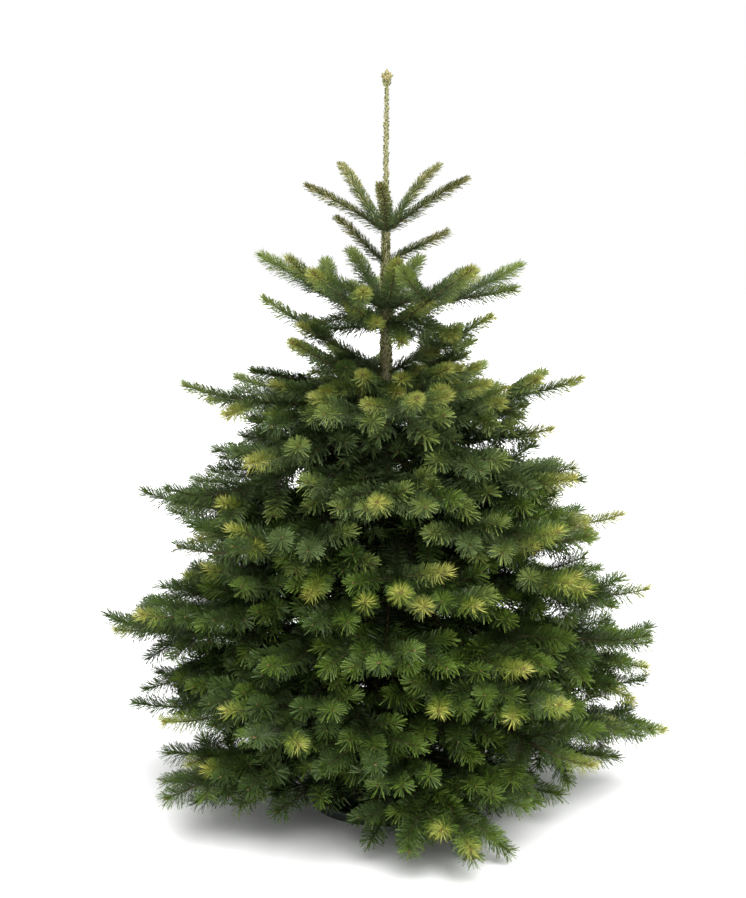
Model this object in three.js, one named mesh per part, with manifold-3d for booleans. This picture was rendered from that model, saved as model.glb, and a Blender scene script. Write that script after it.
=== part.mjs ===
// A cut fir in a plain moulded stand: a whole young tree, 1.64 m tall and full on every side.
//
// The trunk runs from its flat cut in the stand's cup to the bud at its tip. Boughs leave it
// in levels, one direction after another round the trunk. A bough that is old enough is bare
// near the trunk, and is a limb of its own; the last years of its growth are a mass of foliage.
// A mass grows by one rule. A shoot lengthens by one segment a year, each year's end puts out
// a pair of side shoots, and the newest segment of every shoot carries a toothed blade that
// stands for its needles. Each mass keeps to the space between its neighbours.
//
// Units are millimetres and degrees, +Z is up, and the origin is the centre of the stand's
// flat underside.

import * as THREE from 'three';
import { mergeVertices } from 'three/addons/utils/BufferGeometryUtils.js';
import Module from 'manifold-3d';

const wasm = await Module();
wasm.setup();

// ---- Driving dimensions

const SEAT_GAP = 0.3;

const STAND = {
  radius: 170,
  lipHeight: 24,
  lipWidth: 14,
  dishFloor: 10,
  cupRadius: 60,
  cupWall: 7,
  cupHeight: 128,
  cupFloor: 14,
  round: 3,
  sides: 28,
  gussets: 4,
  gussetReach: 84,
  gussetHeight: 92,
  gussetThickness: 6,
};

const SCREW = {
  count: 4,
  height: 106,
  firstDirection: 45,
  shaftRadius: 5,
  padRadius: 9,
  padThickness: 4,
  knobRadius: 15,
  knobThickness: 11,
  reach: 98,
  sides: 8,
};

const TRUNK = {
  cut: STAND.cupFloor + SEAT_GAP,
  tip: 1643,
  rootRadius: 26,
  tipRadius: 2.6,
  taper: 1.25,
  flare: 4,
  flareHeight: 90,
  sway: 3,
  budRadius: 6,
  budHeight: 16,
  sides: 12,
  rings: 14,
  ringCrowding: 1.15,
};

// Wood thickens with the length that it still carries.
const WOOD = {
  tipRadius: 1.6,
  gain: 0.0095,
  boughSides: 6,
  boughRings: 3,
  stemSides: 4,
  stemRings: 3,
  twigSides: 3,
};

const SHOOT = {
  sideAngle: 55,
  sideLength: 0.88,
  longest: 3,
  lift: 6,
  liftSpread: 21,
  sunk: 12,
  behind: 10,
  outset: 1.4,
  bareFoot: 14,
};

// A blade stands for a whole spray on the older boughs, so it is wider there: its half width
// goes by the years of growth of its mass.
const BLADE = {
  halfWidths: [22, 27, 36, 40],
  notch: 0.5,
  shoulder: 0.62,
  toothLength: 0.32,
  ridge: 18,
  ridgeFall: 0.4,
  teeth: 2,
  longTeeth: 3,
  longLength: 125,
  firstTooth: 0.5,
  lastTooth: 0.88,
  wrap: 2.3,
  sideRoot: 2.6,
  overlap: 1.1,
  roll: 50,
};

const SPACE = { margin: 4, floor: 9, overStand: 12 };

const WANDER = { direction: 7, bend: 9, rise: 38 };

// Levels of boughs from the top down: the height where they leave the trunk, the direction of
// the first, the share of each that is bare, the years of growth of the rest, the rise from
// trunk to tip, their slopes at the trunk and at the tip, and each one's reach from the
// trunk's axis.
const LEVELS = [
  {
    height: 1295, turn: 126, bare: 0, years: 1, rise: 112, leave: 0.7, arrive: 0.45,
    reaches: [165, 172, 150, 174, 148],
  },
  {
    height: 1225, turn: 0, bare: 0, years: 1, rise: 98, leave: 0.75, arrive: 0.6,
    reaches: [126, 104],
  },
  {
    height: 1080, turn: 90, bare: 0, years: 2, rise: 118, leave: 0.46, arrive: 0.45,
    reaches: [262, 288, 262, 280, 338],
  },
  {
    height: 985, turn: 180, bare: 0, years: 2, rise: 140, leave: 0.5, arrive: 0.6,
    reaches: [266, 226],
  },
  {
    height: 905, turn: -18, bare: 0, years: 3, rise: 48, leave: 0.15, arrive: 0.42,
    reaches: [424, 402, 412, 450, 408],
  },
  {
    height: 745, turn: 18, bare: 0, years: 4, rise: -60, leave: -0.05, arrive: 0.42,
    reaches: [540, 490, 562, 505, 500],
  },
  {
    height: 590, turn: -18, bare: 0.22, years: 4, rise: -75, leave: -0.1, arrive: 0.36,
    reaches: [588, 545, 550, 568, 556],
  },
  {
    height: 435, turn: 90, bare: 0.28, years: 4, rise: -86, leave: -0.1, arrive: 0.34,
    reaches: [575, 676, 600, 590, 690],
  },
  {
    height: 280, turn: 0, bare: 0.32, years: 4, rise: -155, leave: -0.1, arrive: -0.1,
    reaches: [650, 560, 575, 565, 570],
  },
];

const COLOURS = {
  bark: 0x5f5544,
  youngFoliage: 0x6c8436,
  foliage: 0x3f5a28,
  stand: 0x1b2420,
  screw: 0x9a9c9c,
};

// ---- Helpers

const UP = new THREE.Vector3(0, 0, 1);
const radians = THREE.MathUtils.degToRad;
const lerp = THREE.MathUtils.lerp;

// Repeatable noise from -1 to 1, different for each set of whole-number keys.
function noise(...keys) {
  const mixed = keys.reduce((sum, key, place) => sum + key * (12.9898 + 65.233 * place), 1);
  const scattered = Math.sin(mixed) * 43758.5453;
  return 2 * (scattered - Math.floor(scattered)) - 1;
}

function toSolid(geometry) {
  geometry.deleteAttribute('normal');
  geometry.deleteAttribute('uv');
  const merged = mergeVertices(geometry, 1e-4);
  return new wasm.Manifold(new wasm.Mesh({
    numProp: 3,
    vertProperties: new Float32Array(merged.attributes.position.array),
    triVerts: new Uint32Array(merged.index.array),
  }));
}

function toGeometry(solid) {
  const mesh = solid.getMesh();
  const geometry = new THREE.BufferGeometry();
  geometry.setAttribute('position', new THREE.BufferAttribute(mesh.vertProperties, 3));
  geometry.setIndex(new THREE.BufferAttribute(mesh.triVerts, 1));
  geometry.computeVertexNormals();
  return geometry;
}

// Joins geometries into one solid and drops a scrap that touches nothing.
function join(geometries) {
  const bodies = geometries.map(toSolid).reduce((whole, piece) => whole.add(piece)).decompose();
  return bodies.reduce((largest, body) => (body.volume() > largest.volume() ? body : largest));
}

// Axes of a shoot that points along a heading: its side lies level, and its lift faces up.
function shootAxes(heading) {
  const side = new THREE.Vector3().crossVectors(heading, UP).normalize();
  const lift = new THREE.Vector3().crossVectors(side, heading).normalize();
  return { side, lift };
}

// Heading of a path at a share of its length.
function headingOf(path, share) {
  return path(share + 0.005).sub(path(share - 0.005)).normalize();
}

// A tapering limb: a cylinder whose rings are moved to points of a path, at the shares given,
// each with its radius. A last radius of 0 gives it a point.
function limb(path, shares, radii, sides) {
  const last = shares.length - 1;
  const geometry = new THREE.CylinderGeometry(radii[last] === 0 ? 0 : 1, 1, 1, sides, last);
  const position = geometry.attributes.position;
  for (let i = 0; i < position.count; i += 1) {
    const ring = Math.round((position.getY(i) + 0.5) * last);
    const { side, lift } = shootAxes(headingOf(path, shares[ring]));
    const point = path(shares[ring])
      .addScaledVector(side, radii[ring] * position.getX(i))
      .addScaledVector(lift, radii[ring] * position.getZ(i));
    position.setXYZ(i, point.x, point.y, point.z);
  }
  return geometry;
}

// ---- Stand

// A moulded foot with a raised lip, and a cup that holds the butt of the trunk and its water.
function standFoot() {
  const { radius, lipHeight, lipWidth, dishFloor, cupRadius, cupWall, cupHeight, cupFloor, round } = STAND;
  const cupInner = cupRadius - cupWall;
  const profile = [
    [0, 0],
    [radius - round, 0],
    [radius, round],
    [radius, lipHeight - round],
    [radius - round, lipHeight],
    [radius - lipWidth + round, lipHeight],
    [radius - lipWidth, lipHeight - round],
    [radius - lipWidth - 2 * round, dishFloor],
    [cupRadius + 6 * round, dishFloor + 2 * round],
    [cupRadius + round, dishFloor + 5 * round],
    [cupRadius, cupHeight - 4 * round],
    [cupRadius + round, cupHeight - 2 * round],
    [cupRadius + round / 2, cupHeight],
    [cupInner + round / 2, cupHeight],
    [cupInner, cupHeight - round],
    [cupInner - round, cupFloor + round],
    [cupInner - 2 * round, cupFloor],
    [0, cupFloor],
  ].map(([out, up]) => new THREE.Vector2(out, up));
  const dish = new THREE.LatheGeometry(profile, STAND.sides).rotateX(Math.PI / 2);

  const gussets = [];
  for (let i = 0; i < STAND.gussets; i += 1) {
    gussets.push(standGusset().rotateZ(radians((360 / STAND.gussets) * i)));
  }
  let foot = join([dish, ...gussets]);
  for (let i = 0; i < SCREW.count; i += 1) {
    foot = foot.subtract(toSolid(screwGeometry(SEAT_GAP, i)));
  }
  return toGeometry(foot);
}

// A fin from the cup's wall down to the dish.
function standGusset() {
  const root = STAND.cupRadius - STAND.cupWall / 2;
  const outline = new THREE.Shape([
    new THREE.Vector2(root, STAND.dishFloor / 2),
    new THREE.Vector2(STAND.cupRadius + STAND.gussetReach, STAND.dishFloor / 2),
    new THREE.Vector2(STAND.cupRadius + STAND.gussetReach, STAND.dishFloor + STAND.round),
    new THREE.Vector2(root, STAND.gussetHeight),
  ]);
  const thickness = STAND.gussetThickness;
  return new THREE.ExtrudeGeometry(outline, { depth: thickness, bevelEnabled: false })
    .translate(0, 0, -thickness / 2)
    .rotateX(Math.PI / 2);
}

// A clamp screw with a pad against the trunk and a knob outside the cup. Grown by a clearance
// it is the hole that the screw passes through.
function screwGeometry(clearance, index) {
  const widestFace = trunkRadius(SCREW.height - SCREW.padRadius) * Math.cos(Math.PI / TRUNK.sides);
  const start = widestFace + SEAT_GAP;
  const shaft = SCREW.shaftRadius + clearance;
  const cutting = clearance > 0;
  const pad = cutting ? shaft : SCREW.padRadius;
  const knob = cutting ? shaft : SCREW.knobRadius;
  const knobStart = SCREW.reach - SCREW.knobThickness;
  const profile = [
    [0, start],
    [pad, start],
    [pad, start + SCREW.padThickness],
    [shaft, start + SCREW.padThickness + 1],
    [shaft, knobStart - 2],
    [knob, knobStart],
    [knob, SCREW.reach - 2],
    [knob - 2, SCREW.reach],
    [0, SCREW.reach],
  ].map(([out, along]) => new THREE.Vector2(out, along));
  return new THREE.LatheGeometry(profile, SCREW.sides)
    .rotateZ(-Math.PI / 2)
    .rotateX(Math.PI / SCREW.sides)
    .translate(0, 0, SCREW.height)
    .rotateZ(radians(SCREW.firstDirection + (360 / SCREW.count) * index));
}

// ---- Trunk

function trunkRadius(height) {
  const toTip = THREE.MathUtils.clamp((TRUNK.tip - height) / TRUNK.tip, 0, 1);
  const flare = TRUNK.flare * Math.max(0, 1 - height / TRUNK.flareHeight) ** 2;
  return TRUNK.tipRadius + (TRUNK.rootRadius - TRUNK.tipRadius) * toTip ** TRUNK.taper + flare;
}

// Centre of the trunk: it is all but straight, with a slight sway in its upper half.
function trunkCentre(height) {
  const share = Math.max(0, height / TRUNK.tip);
  const sway = TRUNK.sway * share * Math.sin(2 * Math.PI * share);
  return new THREE.Vector3(sway, sway / 2, height);
}

// The trunk with its radius grown by a clearance.
function trunkSolid(clearance) {
  const foot = TRUNK.cut - clearance;
  const budFoot = TRUNK.tip - TRUNK.budHeight;
  const profile = [new THREE.Vector2(0, foot)];
  for (let ring = 0; ring <= TRUNK.rings; ring += 1) {
    const height = lerp(foot, budFoot, (ring / TRUNK.rings) ** TRUNK.ringCrowding);
    profile.push(new THREE.Vector2(trunkRadius(height) + clearance, height));
  }
  profile.push(new THREE.Vector2(TRUNK.budRadius + clearance, lerp(budFoot, TRUNK.tip, 0.4)));
  profile.push(new THREE.Vector2(TRUNK.budRadius * 0.7 + clearance, lerp(budFoot, TRUNK.tip, 0.8)));
  profile.push(new THREE.Vector2(0, TRUNK.tip + clearance));
  const geometry = new THREE.LatheGeometry(profile, TRUNK.sides).rotateX(Math.PI / 2);
  const position = geometry.attributes.position;
  for (let i = 0; i < position.count; i += 1) {
    const centre = trunkCentre(position.getZ(i));
    position.setXY(i, position.getX(i) + centre.x, position.getY(i) + centre.y);
  }
  return toSolid(geometry);
}

const trunk = trunkSolid(0);
const trunkClearance = trunkSolid(SEAT_GAP);

// ---- Boughs

function levelReach(level) {
  return Math.max(...level.reaches);
}

// Rise above the root of a bough, for a share of its reach. Beyond its tip the slope goes on.
function boughRise(level, reach, rise, share) {
  const s = Math.min(share, 1);
  const fromRoot = reach * level.leave * (s ** 3 - 2 * s ** 2 + s);
  const fromTip = reach * level.arrive * (s ** 3 - s ** 2);
  return fromRoot + fromTip + rise * (3 * s ** 2 - 2 * s ** 3) + reach * level.arrive * (share - s);
}

function levelHeight(level, distance) {
  const reach = levelReach(level);
  return level.height + boughRise(level, reach, level.rise, distance / reach);
}

// Direction round the trunk of the middle of a bough's space.
function boughDirection(level, index) {
  return level.turn + (360 / level.reaches.length) * index;
}

// The centre line of a bough, for a share from 0 at the trunk's axis to 1 at its tip.
function boughPath(levelNumber, index) {
  const level = LEVELS[levelNumber];
  const reach = level.reaches[index];
  const start = boughDirection(level, index) + WANDER.direction * noise(levelNumber, index, 1);
  const bend = WANDER.bend * noise(levelNumber, index, 2);
  const rise = level.rise + WANDER.rise * noise(levelNumber, index, 3);
  return (share) => {
    const angle = radians(start + bend * share);
    const centre = trunkCentre(level.height);
    return new THREE.Vector3(
      centre.x * (1 - share) + reach * share * Math.cos(angle),
      centre.y * (1 - share) + reach * share * Math.sin(angle),
      level.height + boughRise(level, reach, rise, share),
    );
  };
}

function woodRadius(remaining) {
  return WOOD.tipRadius + WOOD.gain * remaining;
}

// Shares of a bough's reach, evenly spaced from one to another.
function sharesBetween(from, to, steps) {
  return Array.from({ length: steps + 1 }, (_, i) => lerp(from, to, i / steps));
}

// The bare part of a bough, from the trunk to where its foliage starts.
function boughSolid(levelNumber, index) {
  const level = LEVELS[levelNumber];
  const reach = level.reaches[index];
  const root = trunkRadius(level.height) / (2 * reach);
  const shares = sharesBetween(root, level.bare, WOOD.boughRings);
  const radii = shares.map((share) => woodRadius(reach * (1 - share)));
  const geometry = limb(boughPath(levelNumber, index), shares, radii, WOOD.boughSides);
  return toSolid(geometry).subtract(trunkClearance);
}

// ---- Foliage

// A toothed blade from its root to its point: flat underneath, with a ridge along its top. Its
// root has a half width of its own, which wraps the wood that it continues or sinks into its
// side.
function bladeGeometry(root, heading, lift, length, halfWidth, rootHalfWidth) {
  const side = new THREE.Vector3().crossVectors(heading, lift).normalize();
  const teeth = length > BLADE.longLength ? BLADE.longTeeth : BLADE.teeth;
  const floor = -rootHalfWidth / 2;
  const corners = [];
  const place = (along, across, up) => {
    const point = root.clone()
      .addScaledVector(heading, along * length)
      .addScaledVector(side, across)
      .addScaledVector(lift, up);
    corners.push(point.x, point.y, point.z);
    return corners.length / 3 - 1;
  };

  // Stations along the spine: a left and a right notch, a point on the ridge, and the teeth.
  const stations = [];
  for (let i = 0; i < teeth; i += 1) {
    const toothAlong = lerp(BLADE.firstTooth, BLADE.lastTooth, i / (teeth - 1));
    const along = i === 0 ? 0 : toothAlong - BLADE.toothLength / (teeth - 1);
    const reach = halfWidth * lerp(BLADE.shoulder, 1, Math.sin(Math.PI * toothAlong));
    const across = i === 0 ? rootHalfWidth : BLADE.notch * reach;
    const ridge = i === 0 ? rootHalfWidth : BLADE.ridge * (1 - BLADE.ridgeFall * along);
    stations.push({
      left: place(along, across, floor),
      right: place(along, -across, floor),
      ridge: place(along, 0, ridge),
      leftTooth: place(toothAlong, reach, floor),
      rightTooth: place(toothAlong, -reach, floor),
    });
  }
  const tip = place(1, 0, floor);

  const faces = [stations[0].left, stations[0].ridge, stations[0].right];
  stations.forEach((here, i) => {
    const next = stations[i + 1];
    const nextLeft = next ? next.left : tip;
    const nextRight = next ? next.right : tip;
    faces.push(here.ridge, here.left, here.leftTooth, here.ridge, here.leftTooth, nextLeft);
    faces.push(here.ridge, here.rightTooth, here.right, here.ridge, nextRight, here.rightTooth);
    if (next) {
      faces.push(here.ridge, nextLeft, next.ridge, here.ridge, next.ridge, nextRight);
      faces.push(here.left, nextRight, nextLeft);
    }
    faces.push(here.left, here.right, nextRight);
    faces.push(here.left, nextLeft, here.leftTooth, here.right, here.rightTooth, nextRight);
  });
  const geometry = new THREE.BufferGeometry();
  geometry.setAttribute('position', new THREE.Float32BufferAttribute(corners, 3));
  geometry.setIndex(faces);
  return geometry;
}

// Tells whether every corner of a geometry lies in the space of a mass: inside its sector
// round the trunk, and between the surfaces half-way to the levels above and below.
function spaceTest(levelNumber, index) {
  const level = LEVELS[levelNumber];
  const above = LEVELS[levelNumber - 1];
  const below = LEVELS[levelNumber + 1];
  const middle = radians(boughDirection(level, index));
  const halfSector = Math.PI / level.reaches.length;
  const standTop = STAND.cupHeight + SPACE.overStand;
  return (geometry) => {
    const position = geometry.attributes.position;
    for (let i = 0; i < position.count; i += 1) {
      const x = position.getX(i);
      const y = position.getY(i);
      const height = position.getZ(i);
      const distance = Math.hypot(x, y);
      const own = levelHeight(level, distance);
      const outward = x * Math.cos(middle) + y * Math.sin(middle);
      const across = Math.abs(y * Math.cos(middle) - x * Math.sin(middle));
      const toSide = outward * Math.sin(halfSector) - across * Math.cos(halfSector);
      const top = above ? (own + levelHeight(above, distance)) / 2 : Infinity;
      const bottom = below ? (own + levelHeight(below, distance)) / 2 : SPACE.floor;
      const clearOfStand = distance < STAND.radius + SPACE.overStand ? standTop : 0;
      const inside = toSide > SPACE.margin
        && height < top - SPACE.margin
        && height > Math.max(bottom, clearOfStand) + SPACE.margin;
      if (!inside) {
        return false;
      }
    }
    return true;
  };
}

// Grows one side shoot. A shoot that would leave the space of its mass is a year shorter, and
// one with no year left is skipped. A shoot of two years carries one of its own, on its outer
// hand.
function growShoot(mass, base, heading, hand, years, segment, key) {
  const facing = shootAxes(heading).lift.applyAxisAngle(heading, radians(BLADE.roll * noise(...key, 5)));
  for (let grown = years; grown > 0; grown -= 1) {
    const fork = base.clone().addScaledVector(heading, segment * (grown - 1));
    const forkRadius = woodRadius(segment);
    const bladeRoot = grown > 1 ? BLADE.wrap * forkRadius : BLADE.sideRoot;
    const pieces = [bladeGeometry(fork, heading, facing, segment * BLADE.overlap, mass.halfWidth, bladeRoot)];
    if (grown > 1) {
      const twigLength = segment * (grown - 1);
      const line = (share) => base.clone().addScaledVector(heading, share * twigLength);
      const shares = [0, 1, 1 + SHOOT.sunk / twigLength];
      pieces.push(limb(line, shares, [woodRadius(segment * grown), forkRadius, 0], WOOD.twigSides));
    }
    if (pieces.every(mass.fits)) {
      mass.pieces.push(...pieces);
      if (grown === 2) {
        const node = fork.addScaledVector(heading, -SHOOT.behind);
        growSide(mass, node, heading, hand, 1, segment, key);
      }
      return;
    }
  }
}

// Puts out a side shoot on one hand of a heading: -1 for the left, 1 for the right.
function growSide(mass, node, heading, hand, years, segment, parentKey) {
  const key = [...parentKey, years, hand];
  const { side, lift } = shootAxes(heading);
  const angle = radians(SHOOT.sideAngle);
  const tilt = radians(SHOOT.lift + SHOOT.liftSpread * noise(...key));
  const outward = heading.clone()
    .multiplyScalar(Math.cos(angle))
    .addScaledVector(side, hand * Math.sin(angle))
    .addScaledVector(lift, Math.tan(tilt))
    .normalize();
  const base = node.clone().addScaledVector(outward, SHOOT.outset);
  growShoot(mass, base, outward, hand, years, segment * SHOOT.sideLength, key);
}

// The foliage of a bough: a stem with side shoots at each year's end, and a blade on its newest
// segment and on the one before.
function foliageSolid(levelNumber, index) {
  const level = LEVELS[levelNumber];
  const reach = level.reaches[index];
  const path = boughPath(levelNumber, index);
  const halfWidth = BLADE.halfWidths[level.years - 1];
  const mass = { pieces: [], halfWidth, fits: spaceTest(levelNumber, index) };
  const yearEnd = (year) => lerp(level.bare, 1, year / level.years);
  const segment = (reach * (1 - level.bare)) / level.years;
  const trunkShare = trunkRadius(level.height) / reach;
  const root = level.bare > 0 ? level.bare + SEAT_GAP / reach : trunkShare / 2;
  const newest = level.years > 1 ? yearEnd(level.years - 1) : trunkShare + SHOOT.bareFoot / reach;
  const shares = sharesBetween(root, newest, level.years > 2 ? WOOD.stemRings : 1);
  const radii = shares.map((share) => woodRadius(reach * (1 - share)));
  shares.push(newest + SHOOT.sunk / reach);
  radii.push(0);
  mass.pieces.push(limb(path, shares, radii, WOOD.stemSides));

  const addBlade = (from, to) => {
    const heading = path(to).sub(path(from));
    const length = heading.length();
    heading.normalize();
    const rootHalfWidth = BLADE.wrap * woodRadius(reach * (1 - from));
    const { lift } = shootAxes(heading);
    mass.pieces.push(bladeGeometry(path(from), heading, lift, length, halfWidth, rootHalfWidth));
  };
  addBlade(newest, 1);
  if (level.years > 2) {
    addBlade(yearEnd(level.years - 2), yearEnd(level.years - 2 + BLADE.overlap));
  }
  for (let year = 1; year < level.years; year += 1) {
    const heading = headingOf(path, yearEnd(year));
    const node = path(yearEnd(year)).addScaledVector(heading, -SHOOT.behind);
    const yearsLeft = Math.min(level.years - year, SHOOT.longest);
    [-1, 1].forEach((hand) => {
      growSide(mass, node, heading, hand, yearsLeft, segment, [levelNumber, index]);
    });
  }
  const solid = join(mass.pieces);
  return level.bare > 0 ? solid : solid.subtract(trunkClearance);
}

// ---- The tree

const tree = new THREE.Group();

function addMesh(name, geometry, colour, roughness, metalness = 0) {
  const material = new THREE.MeshStandardMaterial({ color: colour, roughness, metalness });
  const mesh = new THREE.Mesh(geometry, material);
  mesh.name = name;
  tree.add(mesh);
}

addMesh('stand_foot', standFoot(), COLOURS.stand, 0.45);
for (let i = 0; i < SCREW.count; i += 1) {
  addMesh(`clamp_screw_${i + 1}`, screwGeometry(0, i), COLOURS.screw, 0.35, 1);
}
addMesh('trunk', toGeometry(trunk), COLOURS.bark, 0.9);
LEVELS.forEach((level, levelNumber) => {
  const foliageColour = level.years < 3 ? COLOURS.youngFoliage : COLOURS.foliage;
  level.reaches.forEach((reach, index) => {
    const place = `${levelNumber + 1}_${index + 1}`;
    if (level.bare > 0) {
      addMesh(`bough_${place}`, toGeometry(boughSolid(levelNumber, index)), COLOURS.bark, 0.9);
    }
    addMesh(`foliage_${place}`, toGeometry(foliageSolid(levelNumber, index)), foliageColour, 0.85);
  });
});

export default tree;
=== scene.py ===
"""A cut fir in a plain moulded stand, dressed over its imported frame.

It grows the wood, twigs, needles and buds of a whole christmas tree by the yearly rule of its
solids, finishes the stand and its clamp screws, and sets a plain stage round them. Units are
metres and degrees, +Z is up, and the origin is the centre of the stand's flat underside.
"""

import functools
import math
from collections import defaultdict, namedtuple

import bmesh
import bpy
import numpy as np
from bpy.props import FloatProperty, FloatVectorProperty, PointerProperty
from mathutils import Matrix, Vector, noise


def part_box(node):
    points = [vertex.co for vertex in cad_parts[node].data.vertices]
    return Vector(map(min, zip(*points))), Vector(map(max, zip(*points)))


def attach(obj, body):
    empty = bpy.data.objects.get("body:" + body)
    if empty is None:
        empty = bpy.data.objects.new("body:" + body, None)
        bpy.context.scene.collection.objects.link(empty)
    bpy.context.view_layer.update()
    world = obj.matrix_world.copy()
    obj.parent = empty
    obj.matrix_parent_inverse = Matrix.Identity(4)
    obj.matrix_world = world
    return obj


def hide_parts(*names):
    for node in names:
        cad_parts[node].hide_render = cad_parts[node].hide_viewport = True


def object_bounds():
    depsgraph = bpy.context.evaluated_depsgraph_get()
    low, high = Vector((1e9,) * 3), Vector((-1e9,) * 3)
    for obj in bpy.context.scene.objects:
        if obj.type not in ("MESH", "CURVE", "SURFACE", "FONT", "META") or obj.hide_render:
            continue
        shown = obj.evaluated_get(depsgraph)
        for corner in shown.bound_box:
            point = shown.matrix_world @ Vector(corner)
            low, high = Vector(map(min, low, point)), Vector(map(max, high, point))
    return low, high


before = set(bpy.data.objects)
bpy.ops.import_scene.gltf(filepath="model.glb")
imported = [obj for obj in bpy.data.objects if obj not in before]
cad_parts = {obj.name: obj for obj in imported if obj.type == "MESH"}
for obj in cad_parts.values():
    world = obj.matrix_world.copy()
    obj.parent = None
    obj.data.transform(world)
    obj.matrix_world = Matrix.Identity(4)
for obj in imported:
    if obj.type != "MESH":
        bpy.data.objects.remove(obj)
CAD_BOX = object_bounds()

bl_info = {
    "name": "Fir Tree in a Stand",
    "version": (1, 0, 0),
    "blender": (4, 5, 0),
    "location": "View3D > Sidebar > Fir Tree",
    "description": "Grows a needled fir on its frame and finishes the stand that holds it",
    "category": "Add Mesh",
}

BODY = "root"
GOLDEN_TURN = math.pi * (3 - math.sqrt(5))
UP = np.array([0.0, 0.0, 1.0])
NEARLY_UPRIGHT = 0.97
SEED = 24


# ---- Growth: named sizes and the rule that the solids share

# The trunk: its radii, how its taper bends, its flare at the foot and its slight sway.
TRUNK_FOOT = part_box("trunk")[0].z
TRUNK_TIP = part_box("trunk")[1].z
TRUNK_ROOT_RADIUS = 0.026
TRUNK_TIP_RADIUS = 0.0026
TRUNK_TAPER = 1.25
TRUNK_FLARE = 0.004
TRUNK_FLARE_HEIGHT = 0.09
TRUNK_SWAY = 0.003

# A limb's radius at its tip, and what each metre of growth that it carries adds.
WOOD_TIP_RADIUS = 0.0011
WOOD_GAIN = 0.0095

# Side limbs: their angles to the limb they fork from, their length as a share of its own, how
# far they start before its end, and how they sweep forward, turn up, wander and vary in length.
SIDE_ANGLE = 55
SIDE_ANGLE_SPREAD = 6
SIDE_LIFT = 4
SIDE_LIFT_SPREAD = 20
SIDE_LENGTH = 0.84
SIDE_SETBACK = 0.01
SIDE_SWEEP = 0.045
SIDE_TURN_UP = 0.012
SIDE_WANDER = 0.03
LENGTH_SPREAD = 0.15

# Side limbs from the middle of a year's length: shorter, young, and hanging.
MIDWAY_LENGTH = 0.7
MIDWAY_YEARS = 2
MIDWAY_KEY = 7
HANGING_DROOP = 34

# How often limbs fork, and the points of each year's length past its first.
ORDERS = 2
STEPS = 4

# How far a bough may stray from its level: degrees of direction, degrees of bend, and rise.
WANDER_DIRECTION = 7
WANDER_BEND = 9
WANDER_RISE = 0.038

# The space that wood and needles keep to: over the floor, over the stand, and past the box.
NEEDLE_CLEARANCE = 0.006
WOOD_CLEARANCE = 0.018
STAND_SPACE = (0.2, 0.06)
BOX_MARGIN = 0.012

# A level of boughs: the height where they leave the trunk, the direction of the first, the
# share of each that is bare, the years of growth of the rest, the rise from trunk to tip, their
# slopes at the trunk and at the tip, and each one's reach from the trunk's axis.
Level = namedtuple("Level", "height turn bare years rise leave arrive reaches")

WHORLS = [
    Level(1.295, 126, 0, 1, 0.112, 0.7, 0.45, (0.165, 0.172, 0.150, 0.174, 0.148)),
    Level(1.225, 0, 0, 1, 0.098, 0.75, 0.6, (0.126, 0.104)),
    Level(1.080, 90, 0, 2, 0.118, 0.46, 0.45, (0.262, 0.288, 0.262, 0.280, 0.338)),
    Level(0.985, 180, 0, 2, 0.140, 0.5, 0.6, (0.266, 0.226)),
    Level(0.905, -18, 0, 3, 0.048, 0.15, 0.42, (0.424, 0.402, 0.412, 0.450, 0.408)),
    Level(0.745, 18, 0, 4, -0.060, -0.05, 0.42, (0.540, 0.490, 0.562, 0.505, 0.500)),
    Level(0.590, -18, 0.22, 4, -0.075, -0.1, 0.36, (0.588, 0.545, 0.550, 0.568, 0.556)),
    Level(0.435, 90, 0.28, 4, -0.086, -0.1, 0.34, (0.575, 0.676, 0.600, 0.590, 0.690)),
    Level(0.280, 0, 0.32, 4, -0.155, -0.1, -0.1, (0.650, 0.560, 0.575, 0.565, 0.570)),
]

# Slighter boughs that leave the trunk between the whorls and fill the spaces they leave. The
# last four levels have one bough each, low in the crown.
BETWEEN = [
    Level(1.125, 60, 0, 1, 0.085, 0.5, 0.5, (0.125, 0.125, 0.140, 0.150, 0.150)),
    Level(0.930, 66, 0, 2, -0.010, 0.2, 0.4, (0.280, 0.270, 0.310, 0.280, 0.300)),
    Level(0.845, 30, 0, 3, -0.078, 0.1, 0.4, (0.430, 0.410, 0.430, 0.490, 0.420, 0.430)),
    Level(0.670, -33, 0, 3, -0.030, 0.0, 0.4, (0.480, 0.470, 0.460, 0.480, 0.490, 0.540, 0.490)),
    Level(0.520, 36, 0, 3, -0.060, 0.0, 0.36, (0.560, 0.500, 0.520, 0.600, 0.500, 0.520, 0.590)),
    Level(0.380, 6, 0.1, 3, -0.130, -0.1, 0.2, (0.590, 0.540, 0.540, 0.550, 0.530, 0.540, 0.570)),
    Level(
        0.190, 12, 0.1, 3, -0.125, -0.1, -0.1,
        (0.550, 0.470, 0.460, 0.460, 0.500, 0.460, 0.120, 0.400, 0.410),
    ),
    Level(0.945, 0, 0, 2, 0.045, 0.4, 0.45, (0.200, 0.200, 0.280, 0.350, 0.260, 0.200, 0.220)),
    Level(0.940, 204, 0, 2, 0.095, 0.45, 0.5, (0.250, 0.230)),
    Level(0.200, 275, 0.1, 3, -0.150, -0.1, -0.1, (0.500,)),
    Level(0.205, 292, 0.1, 3, -0.150, -0.1, -0.1, (0.520,)),
    Level(0.330, 186, 0.1, 3, -0.100, -0.1, 0.2, (0.560,)),
    Level(0.215, 232, 0.1, 3, -0.130, -0.1, -0.1, (0.380,)),
]

# Short boughs that fill the dark middle of the crown, one above another, each at a turn from
# the last and with a share of the crown's reach.
CORE_FOOT = 0.24
CORE_TOP = 0.88
CORE_BOUGHS = 34
CORE_REACH = 0.46
CORE_TURN = 137.5

# The height of the highest tips of the crown, and their reach.
TOP_REACH = (1.41, 0.2)

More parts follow.
